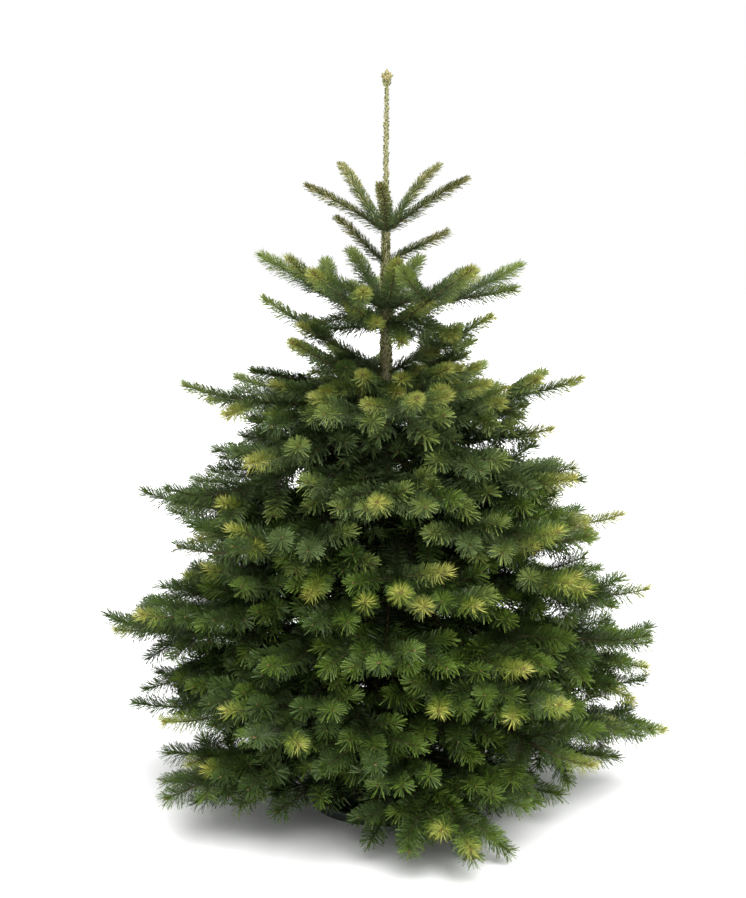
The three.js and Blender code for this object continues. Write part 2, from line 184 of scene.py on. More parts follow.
# A year's length of wood: the points that it runs through, how many years ago it grew, its
# order (0 along a bough, then one more at each fork), its radii at both ends, and the whole
# numbers that its noise comes from.
Shoot = namedtuple("Shoot", "points age order radii keys")


def scatter(*keys):
    """Repeatable noise from -1 to 1, different for each set of whole-number keys."""
    mixed = 1 + sum(key * (12.9898 + 65.233 * place) for place, key in enumerate(keys))
    scattered = math.sin(mixed) * 43758.5453
    return 2 * (scattered - math.floor(scattered)) - 1


def unit(vectors):
    """Vectors of length 1 along those given."""
    return vectors / np.maximum(np.linalg.norm(vectors, axis=-1, keepdims=True), 1e-9)


def shoot_axes(heading):
    """The side of a heading, which lies level, and its lift, which faces up."""
    upright = np.abs(heading[..., 2:3]) > NEARLY_UPRIGHT
    side = unit(np.cross(heading, np.where(upright, [0.0, -1.0, 0.0], UP)))
    return side, np.cross(side, heading)


def trunk_radius(height):
    """Radius of the trunk at a height: its taper, and its flare near the foot."""
    to_tip = np.clip((TRUNK_TIP - height) / TRUNK_TIP, 0, 1)
    flare = TRUNK_FLARE * np.maximum(0, 1 - height / TRUNK_FLARE_HEIGHT) ** 2
    return TRUNK_TIP_RADIUS + (TRUNK_ROOT_RADIUS - TRUNK_TIP_RADIUS) * to_tip**TRUNK_TAPER + flare


def trunk_centre(height):
    """Centres of the trunk at some heights: all but straight, with a slight sway."""
    share = np.maximum(0, np.asarray(height) / TRUNK_TIP)
    sway = TRUNK_SWAY * share * np.sin(2 * np.pi * share)
    return np.stack([sway, sway / 2, np.asarray(height, float)], axis=-1)


def wood_radius(carried):
    """Radius of wood that still carries some length of growth."""
    return WOOD_TIP_RADIUS + WOOD_GAIN * carried


def bough_points(level, number, index, shares):
    """Points of a bough's path at shares of its reach, from the trunk's axis to its tip."""
    count = len(level.reaches)
    reach = level.reaches[index]
    wander = WANDER_DIRECTION * scatter(number, index, 1)
    start = math.radians(level.turn + 360 / count * index + wander)
    bend = math.radians(WANDER_BEND * scatter(number, index, 2))
    rise = level.rise + WANDER_RISE * scatter(number, index, 3)
    s = np.asarray(shares, float)
    direction = start + bend * s
    climb = (
        reach * level.leave * (s**3 - 2 * s**2 + s)
        + reach * level.arrive * (s**3 - s**2)
        + rise * (3 * s**2 - 2 * s**3)
    )
    out = reach * s
    foot = trunk_centre(level.height)
    return np.stack(
        [
            foot[0] * (1 - s) + out * np.cos(direction),
            foot[1] * (1 - s) + out * np.sin(direction),
            level.height + climb,
        ],
        axis=-1,
    )


def fits(points):
    """Whether wood keeps off the floor, off the stand and inside the solids' box."""
    low, high = CAD_BOX
    tip = points[-1]
    inside = all(
        low[axis] - BOX_MARGIN < tip[axis] < high[axis] + BOX_MARGIN for axis in (0, 1)
    )
    reach, height = STAND_SPACE
    over_stand = np.hypot(points[:, 0], points[:, 1]) < reach
    clear = points[:, 2] > np.where(over_stand, height, WOOD_CLEARANCE)
    return inside and bool(clear.all())


def side_years(root, heading, hand, years, length, keys, droop=0.0):
    """Each year's points of a side limb, oldest first. It leaves lower by the droop's degrees."""
    side, lift = shoot_axes(heading)
    tilt = math.radians(SIDE_LIFT + SIDE_LIFT_SPREAD * scatter(*keys, 1) - droop)
    angle = math.radians(SIDE_ANGLE + SIDE_ANGLE_SPREAD * scatter(*keys, 2))
    direction = unit(
        heading * math.cos(angle) + side * hand * math.sin(angle) + lift * math.tan(tilt)
    )
    sweep = SIDE_SWEEP * heading + SIDE_TURN_UP * UP
    grown = []
    point = root
    for year in range(years):
        turn = np.array([scatter(*keys, year, axis) for axis in (3, 4, 5)])
        stretch = 1 + LENGTH_SPREAD * scatter(*keys, year, 6)
        points = [point]
        for _ in range(STEPS):
            direction = unit(direction + sweep + SIDE_WANDER * turn)
            point = point + direction * length * stretch / STEPS
            points.append(point)
        grown.append(np.array(points))
    return grown


def grow_side(crown, root, heading, hand, years, length, order, keys, droop=0.0):
    """Grows a side limb as old as its space lets it be."""
    for age in range(years, 0, -1):
        grown = side_years(root, heading, hand, age, length, keys, droop)
        if all(fits(points) for points in grown):
            grow_limb(crown, grown, length, order, keys)
            return


def grow_limb(crown, grown, length, order, keys):
    """Adds a limb's years of wood to the crown, with the side limbs of each year."""
    years = len(grown)
    for year, points in enumerate(grown, start=1):
        age = years - year
        radii = (wood_radius(length * (age + 1)), wood_radius(length * age))
        crown.append(Shoot(points, age, order, radii, keys))
        if order == ORDERS or age == 0:
            continue
        heading = unit(points[-1] - points[-2])
        for hand in (-1, 1):
            side_keys = (*keys, year, hand)
            grow_side(
                crown, points[-1] - heading * SIDE_SETBACK, heading, hand, age,
                length * SIDE_LENGTH, order + 1, side_keys,
            )
            if order > 0:
                continue
            midway = points[1 if hand > 0 else 2]
            grow_side(
                crown, midway, heading, hand, min(age, MIDWAY_YEARS), length * MIDWAY_LENGTH,
                order + 1, (*side_keys, MIDWAY_KEY), HANGING_DROOP,
            )


def core_levels():
    """The short boughs of the middle, each a level of its own."""
    return [
        Level(
            height, index * CORE_TURN, 0, 2, 0.02 * scatter(index, 9), 0.2, 0.0,
            (CORE_REACH * float(crown_radius(height)),),
        )
        for index, height in enumerate(np.linspace(CORE_FOOT, CORE_TOP, CORE_BOUGHS))
    ]


@functools.cache
def grow_crown():
    """Every year's length of wood on the tree but the trunk's."""
    crown = []
    slight = [*BETWEEN, *core_levels()]
    for number, level in [*enumerate(WHORLS), *enumerate(slight, start=len(WHORLS) + 1)]:
        for index, reach in enumerate(level.reaches):
            length = reach * (1 - level.bare) / level.years
            shares = np.linspace(level.bare, 1, level.years * STEPS + 1)
            points = bough_points(level, number, index, shares)
            starts = range(0, level.years * STEPS, STEPS)
            grown = [points[start : start + STEPS + 1] for start in starts]
            if level.bare:
                foot = bough_points(level, number, index, np.linspace(0, level.bare, STEPS + 1))
                radii = (wood_radius(reach), wood_radius(length * level.years))
                crown.append(Shoot(foot, level.years, 0, radii, (number, index)))
            grow_limb(crown, grown, length, 0, (number, index))
    return crown


def crown_radius(height):
    """How far the crown reaches from the trunk at some heights."""
    tips = sorted(
        (level.height + level.rise, max(level.reaches)) for level in WHORLS if level.years > 1
    )
    heights, reaches = zip(*tips, TOP_REACH)
    return np.interp(height, heights, reaches)


# ---- Meshes

MERGE_DISTANCE = 1e-5
RELIEF_SCALE = 90


def link(name, mesh, material, replaced=()):
    """A piece of the tree with its material and the nodes it stands for."""
    piece = bpy.data.objects.new(name, mesh)
    bpy.context.scene.collection.objects.link(piece)
    mesh.materials.append(material)
    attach(piece, BODY)
    if replaced:
        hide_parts(*replaced)
    return piece


def joined_mesh(name, corners, pattern, smooth=False):
    """One mesh of many like shapes, from each shape's corners and the faces that all share."""
    shapes, count, _ = corners.shape
    order = np.concatenate([np.array(face) for face in pattern])
    starts = np.cumsum([0] + [len(face) for face in pattern[:-1]])
    mesh = bpy.data.meshes.new(name)
    mesh.vertices.add(shapes * count)
    mesh.vertices.foreach_set("co", corners.astype(np.float32).ravel())
    mesh.loops.add(shapes * len(order))
    each = np.arange(shapes)[:, None]
    mesh.loops.foreach_set("vertex_index", (each * count + order).astype(np.int32).ravel())
    mesh.polygons.add(shapes * len(pattern))
    mesh.polygons.foreach_set("loop_start", (each * len(order) + starts).astype(np.int32).ravel())
    mesh.polygons.foreach_set("use_smooth", np.full(shapes * len(pattern), smooth))
    mesh.update(calc_edges=True)
    return mesh


def tube_corners(points, radii, sides, relief=0.0, seed=0):
    """Corners of a closed tube: a ring round each point, and a tip past both ends."""
    headings = unit(np.gradient(points, axis=0))
    side, lift = shoot_axes(headings)
    turns = np.arange(sides) * 2 * np.pi / sides
    rings = np.repeat(np.linspace(*radii, len(points))[:, None], sides, axis=1)
    if relief:
        for ring, point in zip(rings, points):
            for k, turn in enumerate(turns):
                at = Vector((*(point * RELIEF_SCALE)[:2], turn * 2 + seed))
                ring[k] += relief * noise.noise(at)
    around = (
        np.cos(turns)[None, :, None] * lift[:, None, :]
        + np.sin(turns)[None, :, None] * side[:, None, :]
    )
    walls = points[:, None, :] + rings[..., None] * around
    tip = points[-1] + headings[-1] * radii[1]
    foot = points[0] - headings[0] * radii[1]
    return np.concatenate([walls.reshape(-1, 3), tip[None], foot[None]])


def tube_pattern(rings, sides):
    """Faces of the shape that tube_corners gives the corners of."""
    faces = []
    for ring in range(rings - 1):
        for k in range(sides):
            after = (k + 1) % sides
            low, high = ring * sides, (ring + 1) * sides
            faces.append((low + k, high + k, high + after, low + after))
    last = (rings - 1) * sides
    tip = rings * sides
    for k in range(sides):
        after = (k + 1) % sides
        faces.append((last + k, tip, last + after))
        faces.append((k, after, tip + 1))
    return faces


# ---- Materials

def srgb(red, green, blue):
    """A colour for a shader from its everyday parts of 0 to 255."""
    parts = [part / 255 for part in (red, green, blue)]
    return tuple(
        part / 12.92 if part <= 0.04045 else ((part + 0.055) / 1.055) ** 2.4 for part in parts
    )


class Value:
    """A shader socket that takes part in Python arithmetic."""

    def __init__(self, shader, socket):
        self.shader = shader
        self.socket = socket

    def math(self, operation, *values, clamp=False):
        """The value that a Math node makes of some others."""
        settings = {"operation": operation, "use_clamp": clamp}
        made = self.shader.node("ShaderNodeMath", settings, dict(enumerate(values)))
        return Value(self.shader, made.outputs[0])

    def __add__(self, other):
        return self.math("ADD", self, other)

    def __sub__(self, other):
        return self.math("SUBTRACT", self, other)

    def __rsub__(self, other):
        return self.math("SUBTRACT", other, self)

    def __mul__(self, other):
        return self.math("MULTIPLY", self, other)

    def clamped(self):
        """The value kept between 0 and 1."""
        return self.math("ADD", self, 0.0, clamp=True)

    __radd__ = __add__
    __rmul__ = __mul__


class Shader:
    """A new material whose Principled surface is fed node by node."""

    def __init__(self, name):
        self.material = bpy.data.materials.new(name)
        self.material.use_nodes = True
        self.tree = self.material.node_tree
        self.surface = self.tree.nodes["Principled BSDF"]

    def plug(self, value, socket):
        """Sets a socket to a value, or links another socket to it."""
        if isinstance(value, Value):
            value = value.socket
        if isinstance(value, bpy.types.NodeSocket):
            self.tree.links.new(value, socket)
        elif socket.type == "RGBA":
            socket.default_value = (*value[:3], 1.0)
        else:
            socket.default_value = value

    def node(self, kind, settings=None, sockets=None):
        """Adds a node: its settings first, then the values or links of its sockets."""
        made = self.tree.nodes.new(kind)
        for name, value in (settings or {}).items():
            if name == "stops":
                ramp = made.color_ramp.elements
                while len(ramp) < len(value):
                    ramp.new(0.5)
                for element, (position, shade) in zip(ramp, value):
                    element.position = position
                    element.color = (shade, shade, shade, 1.0)
            else:
                setattr(made, name, value)
        for name, value in (sockets or {}).items():
            self.plug(value, made.inputs[name])
        return made

    def place(self):
        """The Object coordinates of a point of the surface."""
        return self.node("ShaderNodeTexCoord").outputs["Object"]

    def stretched(self, scale):
        """Object coordinates with each axis scaled."""
        mapping = self.node("ShaderNodeMapping", None, {"Vector": self.place(), "Scale": scale})
        return mapping.outputs["Vector"]

    def noise(self, scale, detail=4.0, roughness=0.5, vector=None):
        """Cloudy noise from 0 to 1."""
        sockets = {
            "Vector": vector or self.place(),
            "Scale": scale,
            "Detail": detail,
            "Roughness": roughness,
        }
        return Value(self, self.node("ShaderNodeTexNoise", None, sockets).outputs["Fac"])

    def height(self):
        """The height of a point of the surface."""
        return Value(self, self.node("ShaderNodeSeparateXYZ", None, {0: self.place()}).outputs["Z"])

    def ramp(self, value, stops):
        """A value sent through a ramp of grey stops."""
        made = self.node("ShaderNodeValToRGB", {"stops": stops}, {"Fac": value})
        return Value(self, made.outputs["Color"])

    def mix(self, share, first, second):
        """Two colours mixed. A Mix node's sockets 6 and 7 are its two colours."""
        sockets = {"Factor": share, 6: first, 7: second}
        made = self.node("ShaderNodeMix", {"data_type": "RGBA"}, sockets)
        return made.outputs[2]

    def bump(self, height, strength, distance):
        """A normal raised and sunk by a height."""
        sockets = {"Height": height, "Strength": strength, "Distance": distance}
        return self.node("ShaderNodeBump", None, sockets).outputs["Normal"]

    def finish(self, **sockets):
        """Feeds the surface and gives the material back."""
        for name, value in sockets.items():
            self.plug(value, self.surface.inputs[name.replace("_", " ")])
        return self.material


def bark_material(wood):
    """Smooth young bark: grey-brown low down and green-brown near the top, with fine cracks."""
    shader = Shader("fir bark")
    height = shader.height()
    youth = ((height - 0.75) * 1.6).clamped()
    mottle = shader.noise(38.0, 6.0, 0.6)
    streaks = shader.noise(1.0, 5.0, 0.6, shader.stretched((320.0, 320.0, 38.0)))
    old = shader.mix(shader.ramp(mottle, [(0.35, 0.0), (0.68, 1.0)]), wood.bark_dark, wood.bark)
    aged = shader.mix(youth, old, wood.young_bark)
    colour = shader.mix(shader.ramp(streaks, [(0.5, 0.0), (0.72, 0.5)]), aged, wood.bark_dark)
    relief = streaks * 0.6 + mottle * 0.4
    return shader.finish(
        Base_Color=colour,
        Roughness=0.72 + mottle * 0.2,
        Normal=shader.bump(relief, 0.6, 0.0016),
    )


def twig_material(wood):
    """Thin-barked twigs, from yellow-brown to grey-brown."""
    shader = Shader("twig bark")
    mottle = shader.noise(60.0, 4.0, 0.6)
    grain = shader.noise(420.0, 3.0, 0.6)
    colour = shader.mix(shader.ramp(mottle, [(0.38, 0.0), (0.62, 1.0)]), wood.twig, wood.twig_dark)
    return shader.finish(
        Base_Color=colour,
        Roughness=0.66 + grain * 0.2,
        Normal=shader.bump(grain, 0.5, 0.0006),
    )


def bud_material(wood):
    """Resin-glazed brown buds, paler on the leader's tip."""
    shader = Shader("resin bud")
    scales = shader.noise(700.0, 3.0, 0.5)
    on_leader = ((shader.height() - 1.55) * 20.0).clamped()
    resin = shader.mix(on_leader, wood.bud, wood.leader_bud)
    colour = shader.mix(shader.ramp(scales, [(0.4, 0.0), (0.62, 1.0)]), resin, wood.twig)
    return shader.finish(
        Base_Color=colour,
        Roughness=0.4 + scales * 0.2,
        Normal=shader.bump(scales, 0.5, 0.0006),
    )


def needle_material(tone, colour):
    """The plain waxy green of one class of sprays."""
    shader = Shader(f"needles {tone.replace('_', ' ')}")
    return shader.finish(
        Base_Color=colour,
        Roughness=0.42,
        Specular_IOR_Level=0.3,
    )


def plastic_material(stand):
    """Moulded plastic with a fine sparked grain and a few cloudy marks."""
    shader = Shader("moulded plastic")
    clouds = shader.noise(9.0, 4.0, 0.6)
    grain = shader.noise(1400.0, 2.0, 0.5)
    dust = shader.ramp(clouds, [(0.5, 0.0), (0.8, 0.35)])
    colour = shader.mix(dust, stand.plastic, stand.plastic_dust)
    return shader.finish(
        Base_Color=colour,
        Roughness=0.36 + clouds * 0.22,
        Normal=shader.bump(grain, 0.25, 0.0003),
    )


def steel_material(stand):
    """Zinc-plated steel, turned, with fine rings and dull patches."""
    shader = Shader("zinc plated steel")
    patches = shader.noise(55.0, 4.0, 0.6)
    rings = shader.noise(1.0, 3.0, 0.6, shader.stretched((900.0, 900.0, 60.0)))
    colour = shader.mix(patches, stand.steel, stand.steel_dull)
    return shader.finish(
        Base_Color=colour,
        Metallic=1.0,
        Roughness=0.26 + patches * 0.25,
        Normal=shader.bump(rings, 0.3, 0.0003),
    )


def floor_material(stage):
    """A plain pale studio floor, with the least of unevenness."""
    shader = Shader("studio floor")
    clouds = shader.noise(1.5, 3.0, 0.5)
    colour = shader.mix(clouds, stage.floor, [part * 0.98 for part in stage.floor])
    return shader.finish(Base_Color=colour, Roughness=0.9)


# ---- Sizes and colours that a user would change

def colour_setting(name, description, *parts):
    """A colour that a user can change, from its everyday parts of 0 to 255."""
    return FloatVectorProperty(
        name=name, description=description, subtype="COLOR", min=0, max=1, default=srgb(*parts)
    )


class WoodSettings(bpy.types.PropertyGroup):
    """Colours of the bark, the twigs and the buds"""

    bark: colour_setting("Bark", "Colour of the lower trunk", 138, 126, 104)
    bark_dark: colour_setting("Bark cracks", "Colour of cracks and mottling", 78, 68, 52)
    young_bark: colour_setting("Young bark", "Colour of the trunk near its tip", 134, 132, 96)
    twig: colour_setting("Twig", "Colour of this year's twigs", 92, 80, 44)
    twig_dark: colour_setting("Old twig", "Colour of older twigs", 58, 46, 30)
    bud: colour_setting("Bud", "Colour of the buds", 116, 96, 50)
    leader_bud: colour_setting("Leader's buds", "Colour of the buds at the very top", 168, 160, 104)
    relief: FloatProperty(
        name="Bark relief", description="Height of the bark's ridges", default=0.0011,
        min=0, max=0.004, unit="LENGTH", precision=4,
    )


class NeedleSettings(bpy.types.PropertyGroup):
    """Sizes, crowding and tones of the needles"""

    length: FloatProperty(
        name="Length", description="Length of a needle", default=0.033, min=0.01, max=0.05,
        unit="LENGTH",
    )
    width: FloatProperty(
        name="Width", description="Width of the needles at the outline", default=0.0014,
        min=0.0005, max=0.005, unit="LENGTH", precision=4,
    )
    inner_width: FloatProperty(
        name="Inner width", description="Width of the needles deep inside", default=0.0034,
        min=0.001, max=0.005, unit="LENGTH", precision=4,
    )
    crowding: FloatProperty(
        name="Crowding", description="Needles on each metre of a shoot at the outline",
        default=4300, min=100, max=9000,
    )
    inner_crowding: FloatProperty(
        name="Inner crowding", description="Needles on each metre of a shoot deep inside",
        default=950, min=100, max=5000,
    )
    # Gold, bright and spring colour the tips that are dealt out as lit: painted light, more often
    # towards the lamp and at the outline, over the real yellow-green of new growth. Gold is a
    # painted highlight on their last needles.
    gold_highlight: colour_setting("Gold tips", "The last needles of the bright tips", 164, 164, 80)
    bright: colour_setting("Bright tips", "Needles at the tips that face out", 144, 148, 72)
    sunlit_spring: colour_setting("Spring tips", "Needles at the tips low in the crown", 124, 136, 52)
    # Fresh, sage and moss, high in the crown, are lighter than lush, green and deep below them:
    # partly painted light from above, partly a real more olive green.
    fresh: colour_setting("Fresh", "This year's needles high in the crown", 112, 127, 62)
    sage: colour_setting("Sage", "Shaded needles high in the crown", 84, 102, 56)
    moss: colour_setting("Moss", "Last year's needles high in the crown", 65, 80, 46)
    lush: colour_setting("Lush", "This year's needles low in the crown", 86, 108, 38)
    green: colour_setting("Green", "Shaded needles low in the crown", 62, 83, 32)
    # Deep and dark also carry painted shade: at the foot of each shoot and on shoots deep in the
    # crown.
    deep: colour_setting("Deep", "Last year's needles low in the crown", 48, 62, 27)
    dark: colour_setting("Dark", "The oldest needles", 31, 41, 20)
    # Cool and cool dark are painted shade: darker, bluish sprays on the side away from the lamp.
    cool_shade: colour_setting("Cool", "Bluish sprays", 64, 84, 37)
    cool_dark_shade: colour_setting("Cool dark", "Old bluish sprays", 44, 58, 28)
    olive: colour_setting("Olive", "Needles of the leader and of the top shoots", 112, 112, 62)
    pale: colour_setting("Pale", "Pale flecks on the leader and the top shoots", 182, 178, 132)


class StandSettings(bpy.types.PropertyGroup):
    """Colours and edges of the stand and its clamp screws"""

    plastic: colour_setting("Plastic", "Colour of the moulded stand", 30, 38, 30)
    plastic_dust: colour_setting("Dust", "Colour of the dull marks on the plastic", 64, 68, 56)
    steel: colour_setting("Steel", "Colour of the clamp screws", 190, 192, 190)
    steel_dull: colour_setting("Dull steel", "Colour of dull patches on the screws", 140, 140, 134)
    edge: FloatProperty(
        name="Edge radius", description="Radius of the moulded edges", default=0.0016,
        min=0.0002, max=0.004, unit="LENGTH", precision=4,
    )


class StageSettings(bpy.types.PropertyGroup):
    """The floor, the light and the camera"""

    floor: colour_setting("Floor", "Colour of the floor", 246, 246, 246)
    distance: FloatProperty(
        name="Camera distance", description="From the camera to the trunk", default=4.0,
        min=2, max=20, unit="LENGTH",
    )
    eye_height: FloatProperty(
        name="Camera height", description="Height of the camera", default=1.5, min=0.2, max=4,
        unit="LENGTH",
    )
    pitch: FloatProperty(
        name="Camera pitch", description="How far the camera looks down",
        default=math.radians(9.705), min=0, max=1, subtype="ANGLE",
    )
    lens: FloatProperty(
        name="Lens", description="Focal length in millimetres", default=73.3, min=20, max=200,
    )
    key: FloatProperty(
        name="Key light", description="Strength of the soft sun", default=5.8, min=0, max=20,
    )
    softness: FloatProperty(
        name="Softness", description="Degrees of sky that the key light fills", default=60,
        min=0, max=90,
    )
    fill: FloatProperty(
        name="Fill light", description="Light that comes from all round", default=0.8, min=0,
        max=4,
    )
    backdrop: FloatProperty(
        name="Backdrop", description="Brightness of the surround itself", default=1.0, min=0,
        max=4,
    )


# ---- Wood

RINGS_A_METRE = 190
TRUNK_SIDES = 40
BOUGH_SIDES = 10
TWIG_SIDES = 4

# The trunk stops this far below its tip, inside the leader's buds.
BUD_SPACE = 0.012

# The trunk's relief: the scales of its plates round it and up it, the scale of its blisters,
# the noise from which they rise and how high, the height over which all this fades towards the
# tip and the share that is left there, and the collar below each whorl.
PLATES_ROUND = 2.2
PLATES_UP = 42
BLISTER_SCALE = 3.1
BLISTER_FROM = 0.25
BLISTER_HEIGHT = 1.6
FADING_HEIGHT = 0.9
LEAST_RELIEF = 0.12
COLLAR_DROP = 0.006
COLLAR_HEIGHT = 0.011
COLLAR_RELIEF = 0.0016

# The relief of the boughs as a share of the trunk's.
BOUGH_RELIEF = 0.6


def trunk_relief(turn, height, relief):
    """Bark relief of the trunk: shallow plates, blisters, and a collar below each whorl."""
    at = Vector((math.cos(turn) * PLATES_ROUND, math.sin(turn) * PLATES_ROUND, height * PLATES_UP))
    plates = noise.noise(at)
    blisters = max(0.0, noise.noise(at * BLISTER_SCALE) - BLISTER_FROM) * BLISTER_HEIGHT
    fade = min(1.0, max(LEAST_RELIEF, (TRUNK_TIP - height) / FADING_HEIGHT))
    collars = sum(
        math.exp(-(((height - level.height + COLLAR_DROP) / COLLAR_HEIGHT) ** 2))
        for level in WHORLS
    )
    return relief * fade * (plates + blisters) + COLLAR_RELIEF * fade * collars


def trunk_mesh(wood):
    """The trunk, from its flat cut to its tip, rolled up from a grid."""
    rings = int((TRUNK_TIP - TRUNK_FOOT) * RINGS_A_METRE)
    bm = bmesh.new()
    bmesh.ops.create_grid(bm, x_segments=TRUNK_SIDES, y_segments=rings, size=0.5)
    top = TRUNK_TIP - BUD_SPACE
    for vertex in bm.verts:
        turn = (vertex.co.x + 0.5) * 2 * math.pi
        height = TRUNK_FOOT + (top - TRUNK_FOOT) * (vertex.co.y + 0.5)
        radius = float(trunk_radius(height)) + trunk_relief(turn, height, wood.relief)
        centre = trunk_centre(height)
        vertex.co = (
            centre[0] + radius * math.cos(turn),
            centre[1] + radius * math.sin(turn),
            height,
        )
    bmesh.ops.remove_doubles(bm, verts=bm.verts, dist=MERGE_DISTANCE)
    bmesh.ops.holes_fill(bm, edges=bm.edges, sides=0)
    bmesh.ops.recalc_face_normals(bm, faces=bm.faces)
    mesh = bpy.data.meshes.new("trunk_bark")
    bm.to_mesh(mesh)
    bm.free()
    mesh.polygons.foreach_set("use_smooth", [len(face.vertices) == 4 for face in mesh.polygons])
    return mesh


class FIRTREE_OT_trunk(bpy.types.Operator):
    """Rolls up the trunk with its bark"""

    bl_idname = "fir_tree.trunk"
    bl_label = "Trunk"

    def execute(self, context):
        wood = context.scene.fir_wood
        link("trunk_bark", trunk_mesh(wood), bark_material(wood), ["trunk"])
        return {"FINISHED"}


class FIRTREE_OT_boughs(bpy.types.Operator):
    """Grows the boughs and the twigs that fork from them"""

    bl_idname = "fir_tree.boughs"
    bl_label = "Boughs and twigs"

    def execute(self, context):
        wood = context.scene.fir_wood
        # The boughs wear the twig bark, darker than the trunk's: the thin bark of young boughs, and
        # partly painted shade inside the crown.
        bark = twig_material(wood)
        crown = grow_crown()
        nodes = [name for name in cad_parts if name.startswith("bough_")]
        thick = [shoot for shoot in crown if shoot.order == 0]
        relief = wood.relief * BOUGH_RELIEF
        corners = [
            tube_corners(shoot.points, shoot.radii, BOUGH_SIDES, relief, place)
            for place, shoot in enumerate(thick)
        ]
        pattern = tube_pattern(STEPS + 1, BOUGH_SIDES)
        mesh = joined_mesh("bough_bark", np.array(corners), pattern, True)
        link("bough_bark", mesh, bark, nodes)
        thin = [shoot for shoot in crown if shoot.order > 0]
        corners = [tube_corners(shoot.points, shoot.radii, TWIG_SIDES) for shoot in thin]
        pattern = tube_pattern(STEPS + 1, TWIG_SIDES)
        mesh = joined_mesh("twigs", np.array(corners), pattern, True)
        link("twigs", mesh, bark)
        return {"FINISHED"}


# ---- Buds

BUD_LENGTH = 0.006
BUD_WIDTH = 0.0042
BUD_SIDES = 4

# A bud's rings as shares of its length and width, and how deep its foot is in the twig.
BUD_RINGS = (-0.15, 0.3, 0.7)
BUD_SWELL = (0.3, 0.5, 0.32)
BUD_DEPTH = 0.3

# How large the buds are on a bough's end, how much smaller at each fork, how small the side buds
# are beside it, how far behind it they stand and how far aside they face.
END_BUD = 1.5
FORK_BUD_LESS = 0.2
SIDE_BUD = 0.8
SIDE_BUD_SETBACK = 0.002
SIDE_BUD_TURN = 0.8

# The leader's cluster: how far below the tip, the sizes of its middle bud and of those round it,
# which face up by one, two or three times the rise and stand up to three drops lower.
CLUSTER_DEPTH = 0.019
CLUSTER_MIDDLE = 3.2
CLUSTER_BUDS = 12
CLUSTER_BUD = 2.6
CLUSTER_RISE = 0.4
CLUSTER_DROP = 0.002


def bud_corners(root, heading, size):
    """Corners of a pointed bud that stands on a twig's end."""
    points = np.array([root + heading * BUD_LENGTH * size * step for step in BUD_RINGS])
    corners = tube_corners(points, (1, 1), BUD_SIDES)
    rings = corners[:-2].reshape(len(BUD_RINGS), BUD_SIDES, 3)
    swell = np.array(BUD_SWELL)[:, None, None] * BUD_WIDTH * size
    rings = points[:, None] + (rings - points[:, None]) * swell
    tip = root + heading * BUD_LENGTH * size
    foot = root - heading * BUD_LENGTH * size * BUD_DEPTH
    return np.concatenate([rings.reshape(-1, 3), tip[None], foot[None]])


def twig_buds(shoot):
    """The bud on the end of a shoot, with one on each side of it on the end of a bough."""
    tip = shoot.points[-1]
    heading = unit(tip - shoot.points[-2])
    side, _ = shoot_axes(heading)
    size = END_BUD - FORK_BUD_LESS * shoot.order
    buds = [bud_corners(tip, heading, size)]
    for hand in (-1, 1) if shoot.order == 0 else ():
        aside = unit(heading + side * hand * SIDE_BUD_TURN)
        buds.append(bud_corners(tip - heading * SIDE_BUD_SETBACK, aside, size * SIDE_BUD))
    return buds


def leader_buds():
    """The cluster of buds at the tip of the leader."""
    crown = trunk_centre(TRUNK_TIP - CLUSTER_DEPTH)
    buds = [bud_corners(crown, UP, CLUSTER_MIDDLE)]
    for index in range(CLUSTER_BUDS):
        turn = index * GOLDEN_TURN
        out = np.array([math.cos(turn), math.sin(turn), CLUSTER_RISE * (1 + index % 3)])
        root = crown - UP * CLUSTER_DROP * (index % 4)
        buds.append(bud_corners(root, unit(out), CLUSTER_BUD))
    return buds


class FIRTREE_OT_buds(bpy.types.Operator):
    """Sets resin-glazed buds on the ends of this year's shoots"""

    bl_idname = "fir_tree.buds"
    bl_label = "Buds"

    def execute(self, context):
        young = [shoot for shoot in grow_crown() if shoot.age == 0]
        corners = [bud for shoot in young for bud in twig_buds(shoot)] + leader_buds()
        pattern = tube_pattern(len(BUD_RINGS), BUD_SIDES)
        mesh = joined_mesh("buds", np.array(corners), pattern, True)
        link("buds", mesh, bud_material(context.scene.fir_wood))
        return {"FINISHED"}


# ---- Needles

# The faces of each kind of needle, and the tones whose needles are bent.
PATTERNS = {
    "bent": [(0, 1, 3, 2), (2, 3, 4)],
    "blunt": [(0, 1, 3, 2)],
    "plain": [(0, 1, 2)],
}
BENT_TONES = {"bright", "sunlit_spring", "gold_highlight"}

# How far a blunt needle reaches of a bent one, how many times wider the foot of a plain one is,
# the fewest needles that a shoot carries, and the most that a piece has.
BLUNT_REACH = 0.94
PLAIN_FOOT_WIDTH = 3
SHOOT_NEEDLES = 3
PIECE_NEEDLES = 66000

# Parts of the crown: how many whorls are its top, the height from which it is open and clear of
# the mass below, and the height where its tones change, over how much height.
TOP_WHORLS = 2
CLEAR_OF_CROWN = 0.95
UPPER_CROWN = 0.82
UPPER_SPREAD = 0.3

# A shoot's coat of needles: how many, their length and width, and their angle to the wood.
Coat = namedtuple("Coat", "count length width lean")

# The coats of the top, of the clear part and of the rest: their crowding and their length as
# shares of what the settings give, and the angle.
TOP_COAT = (1.5, 0.66, 46)
CLEAR_COAT = (1.4, 0.86, 54)
FULL_COAT = (1, 1, 62)

# The share of a young shoot's needles that is left on a shoot of each age.
FULLNESS = [1.0, 0.85, 0.75, 0.7, 0.5]

# How needles are dealt out along a shoot and round it: the power that draws them to its end,
# the spread of their turns, and the share of those under it that is kept.
DRAW_TO_END = 0.86
TURN_SPREAD = 0.2
UNDERSIDE = -0.35
UNDERSIDE_SHARE = 0.6
FLATNESS = 0.8

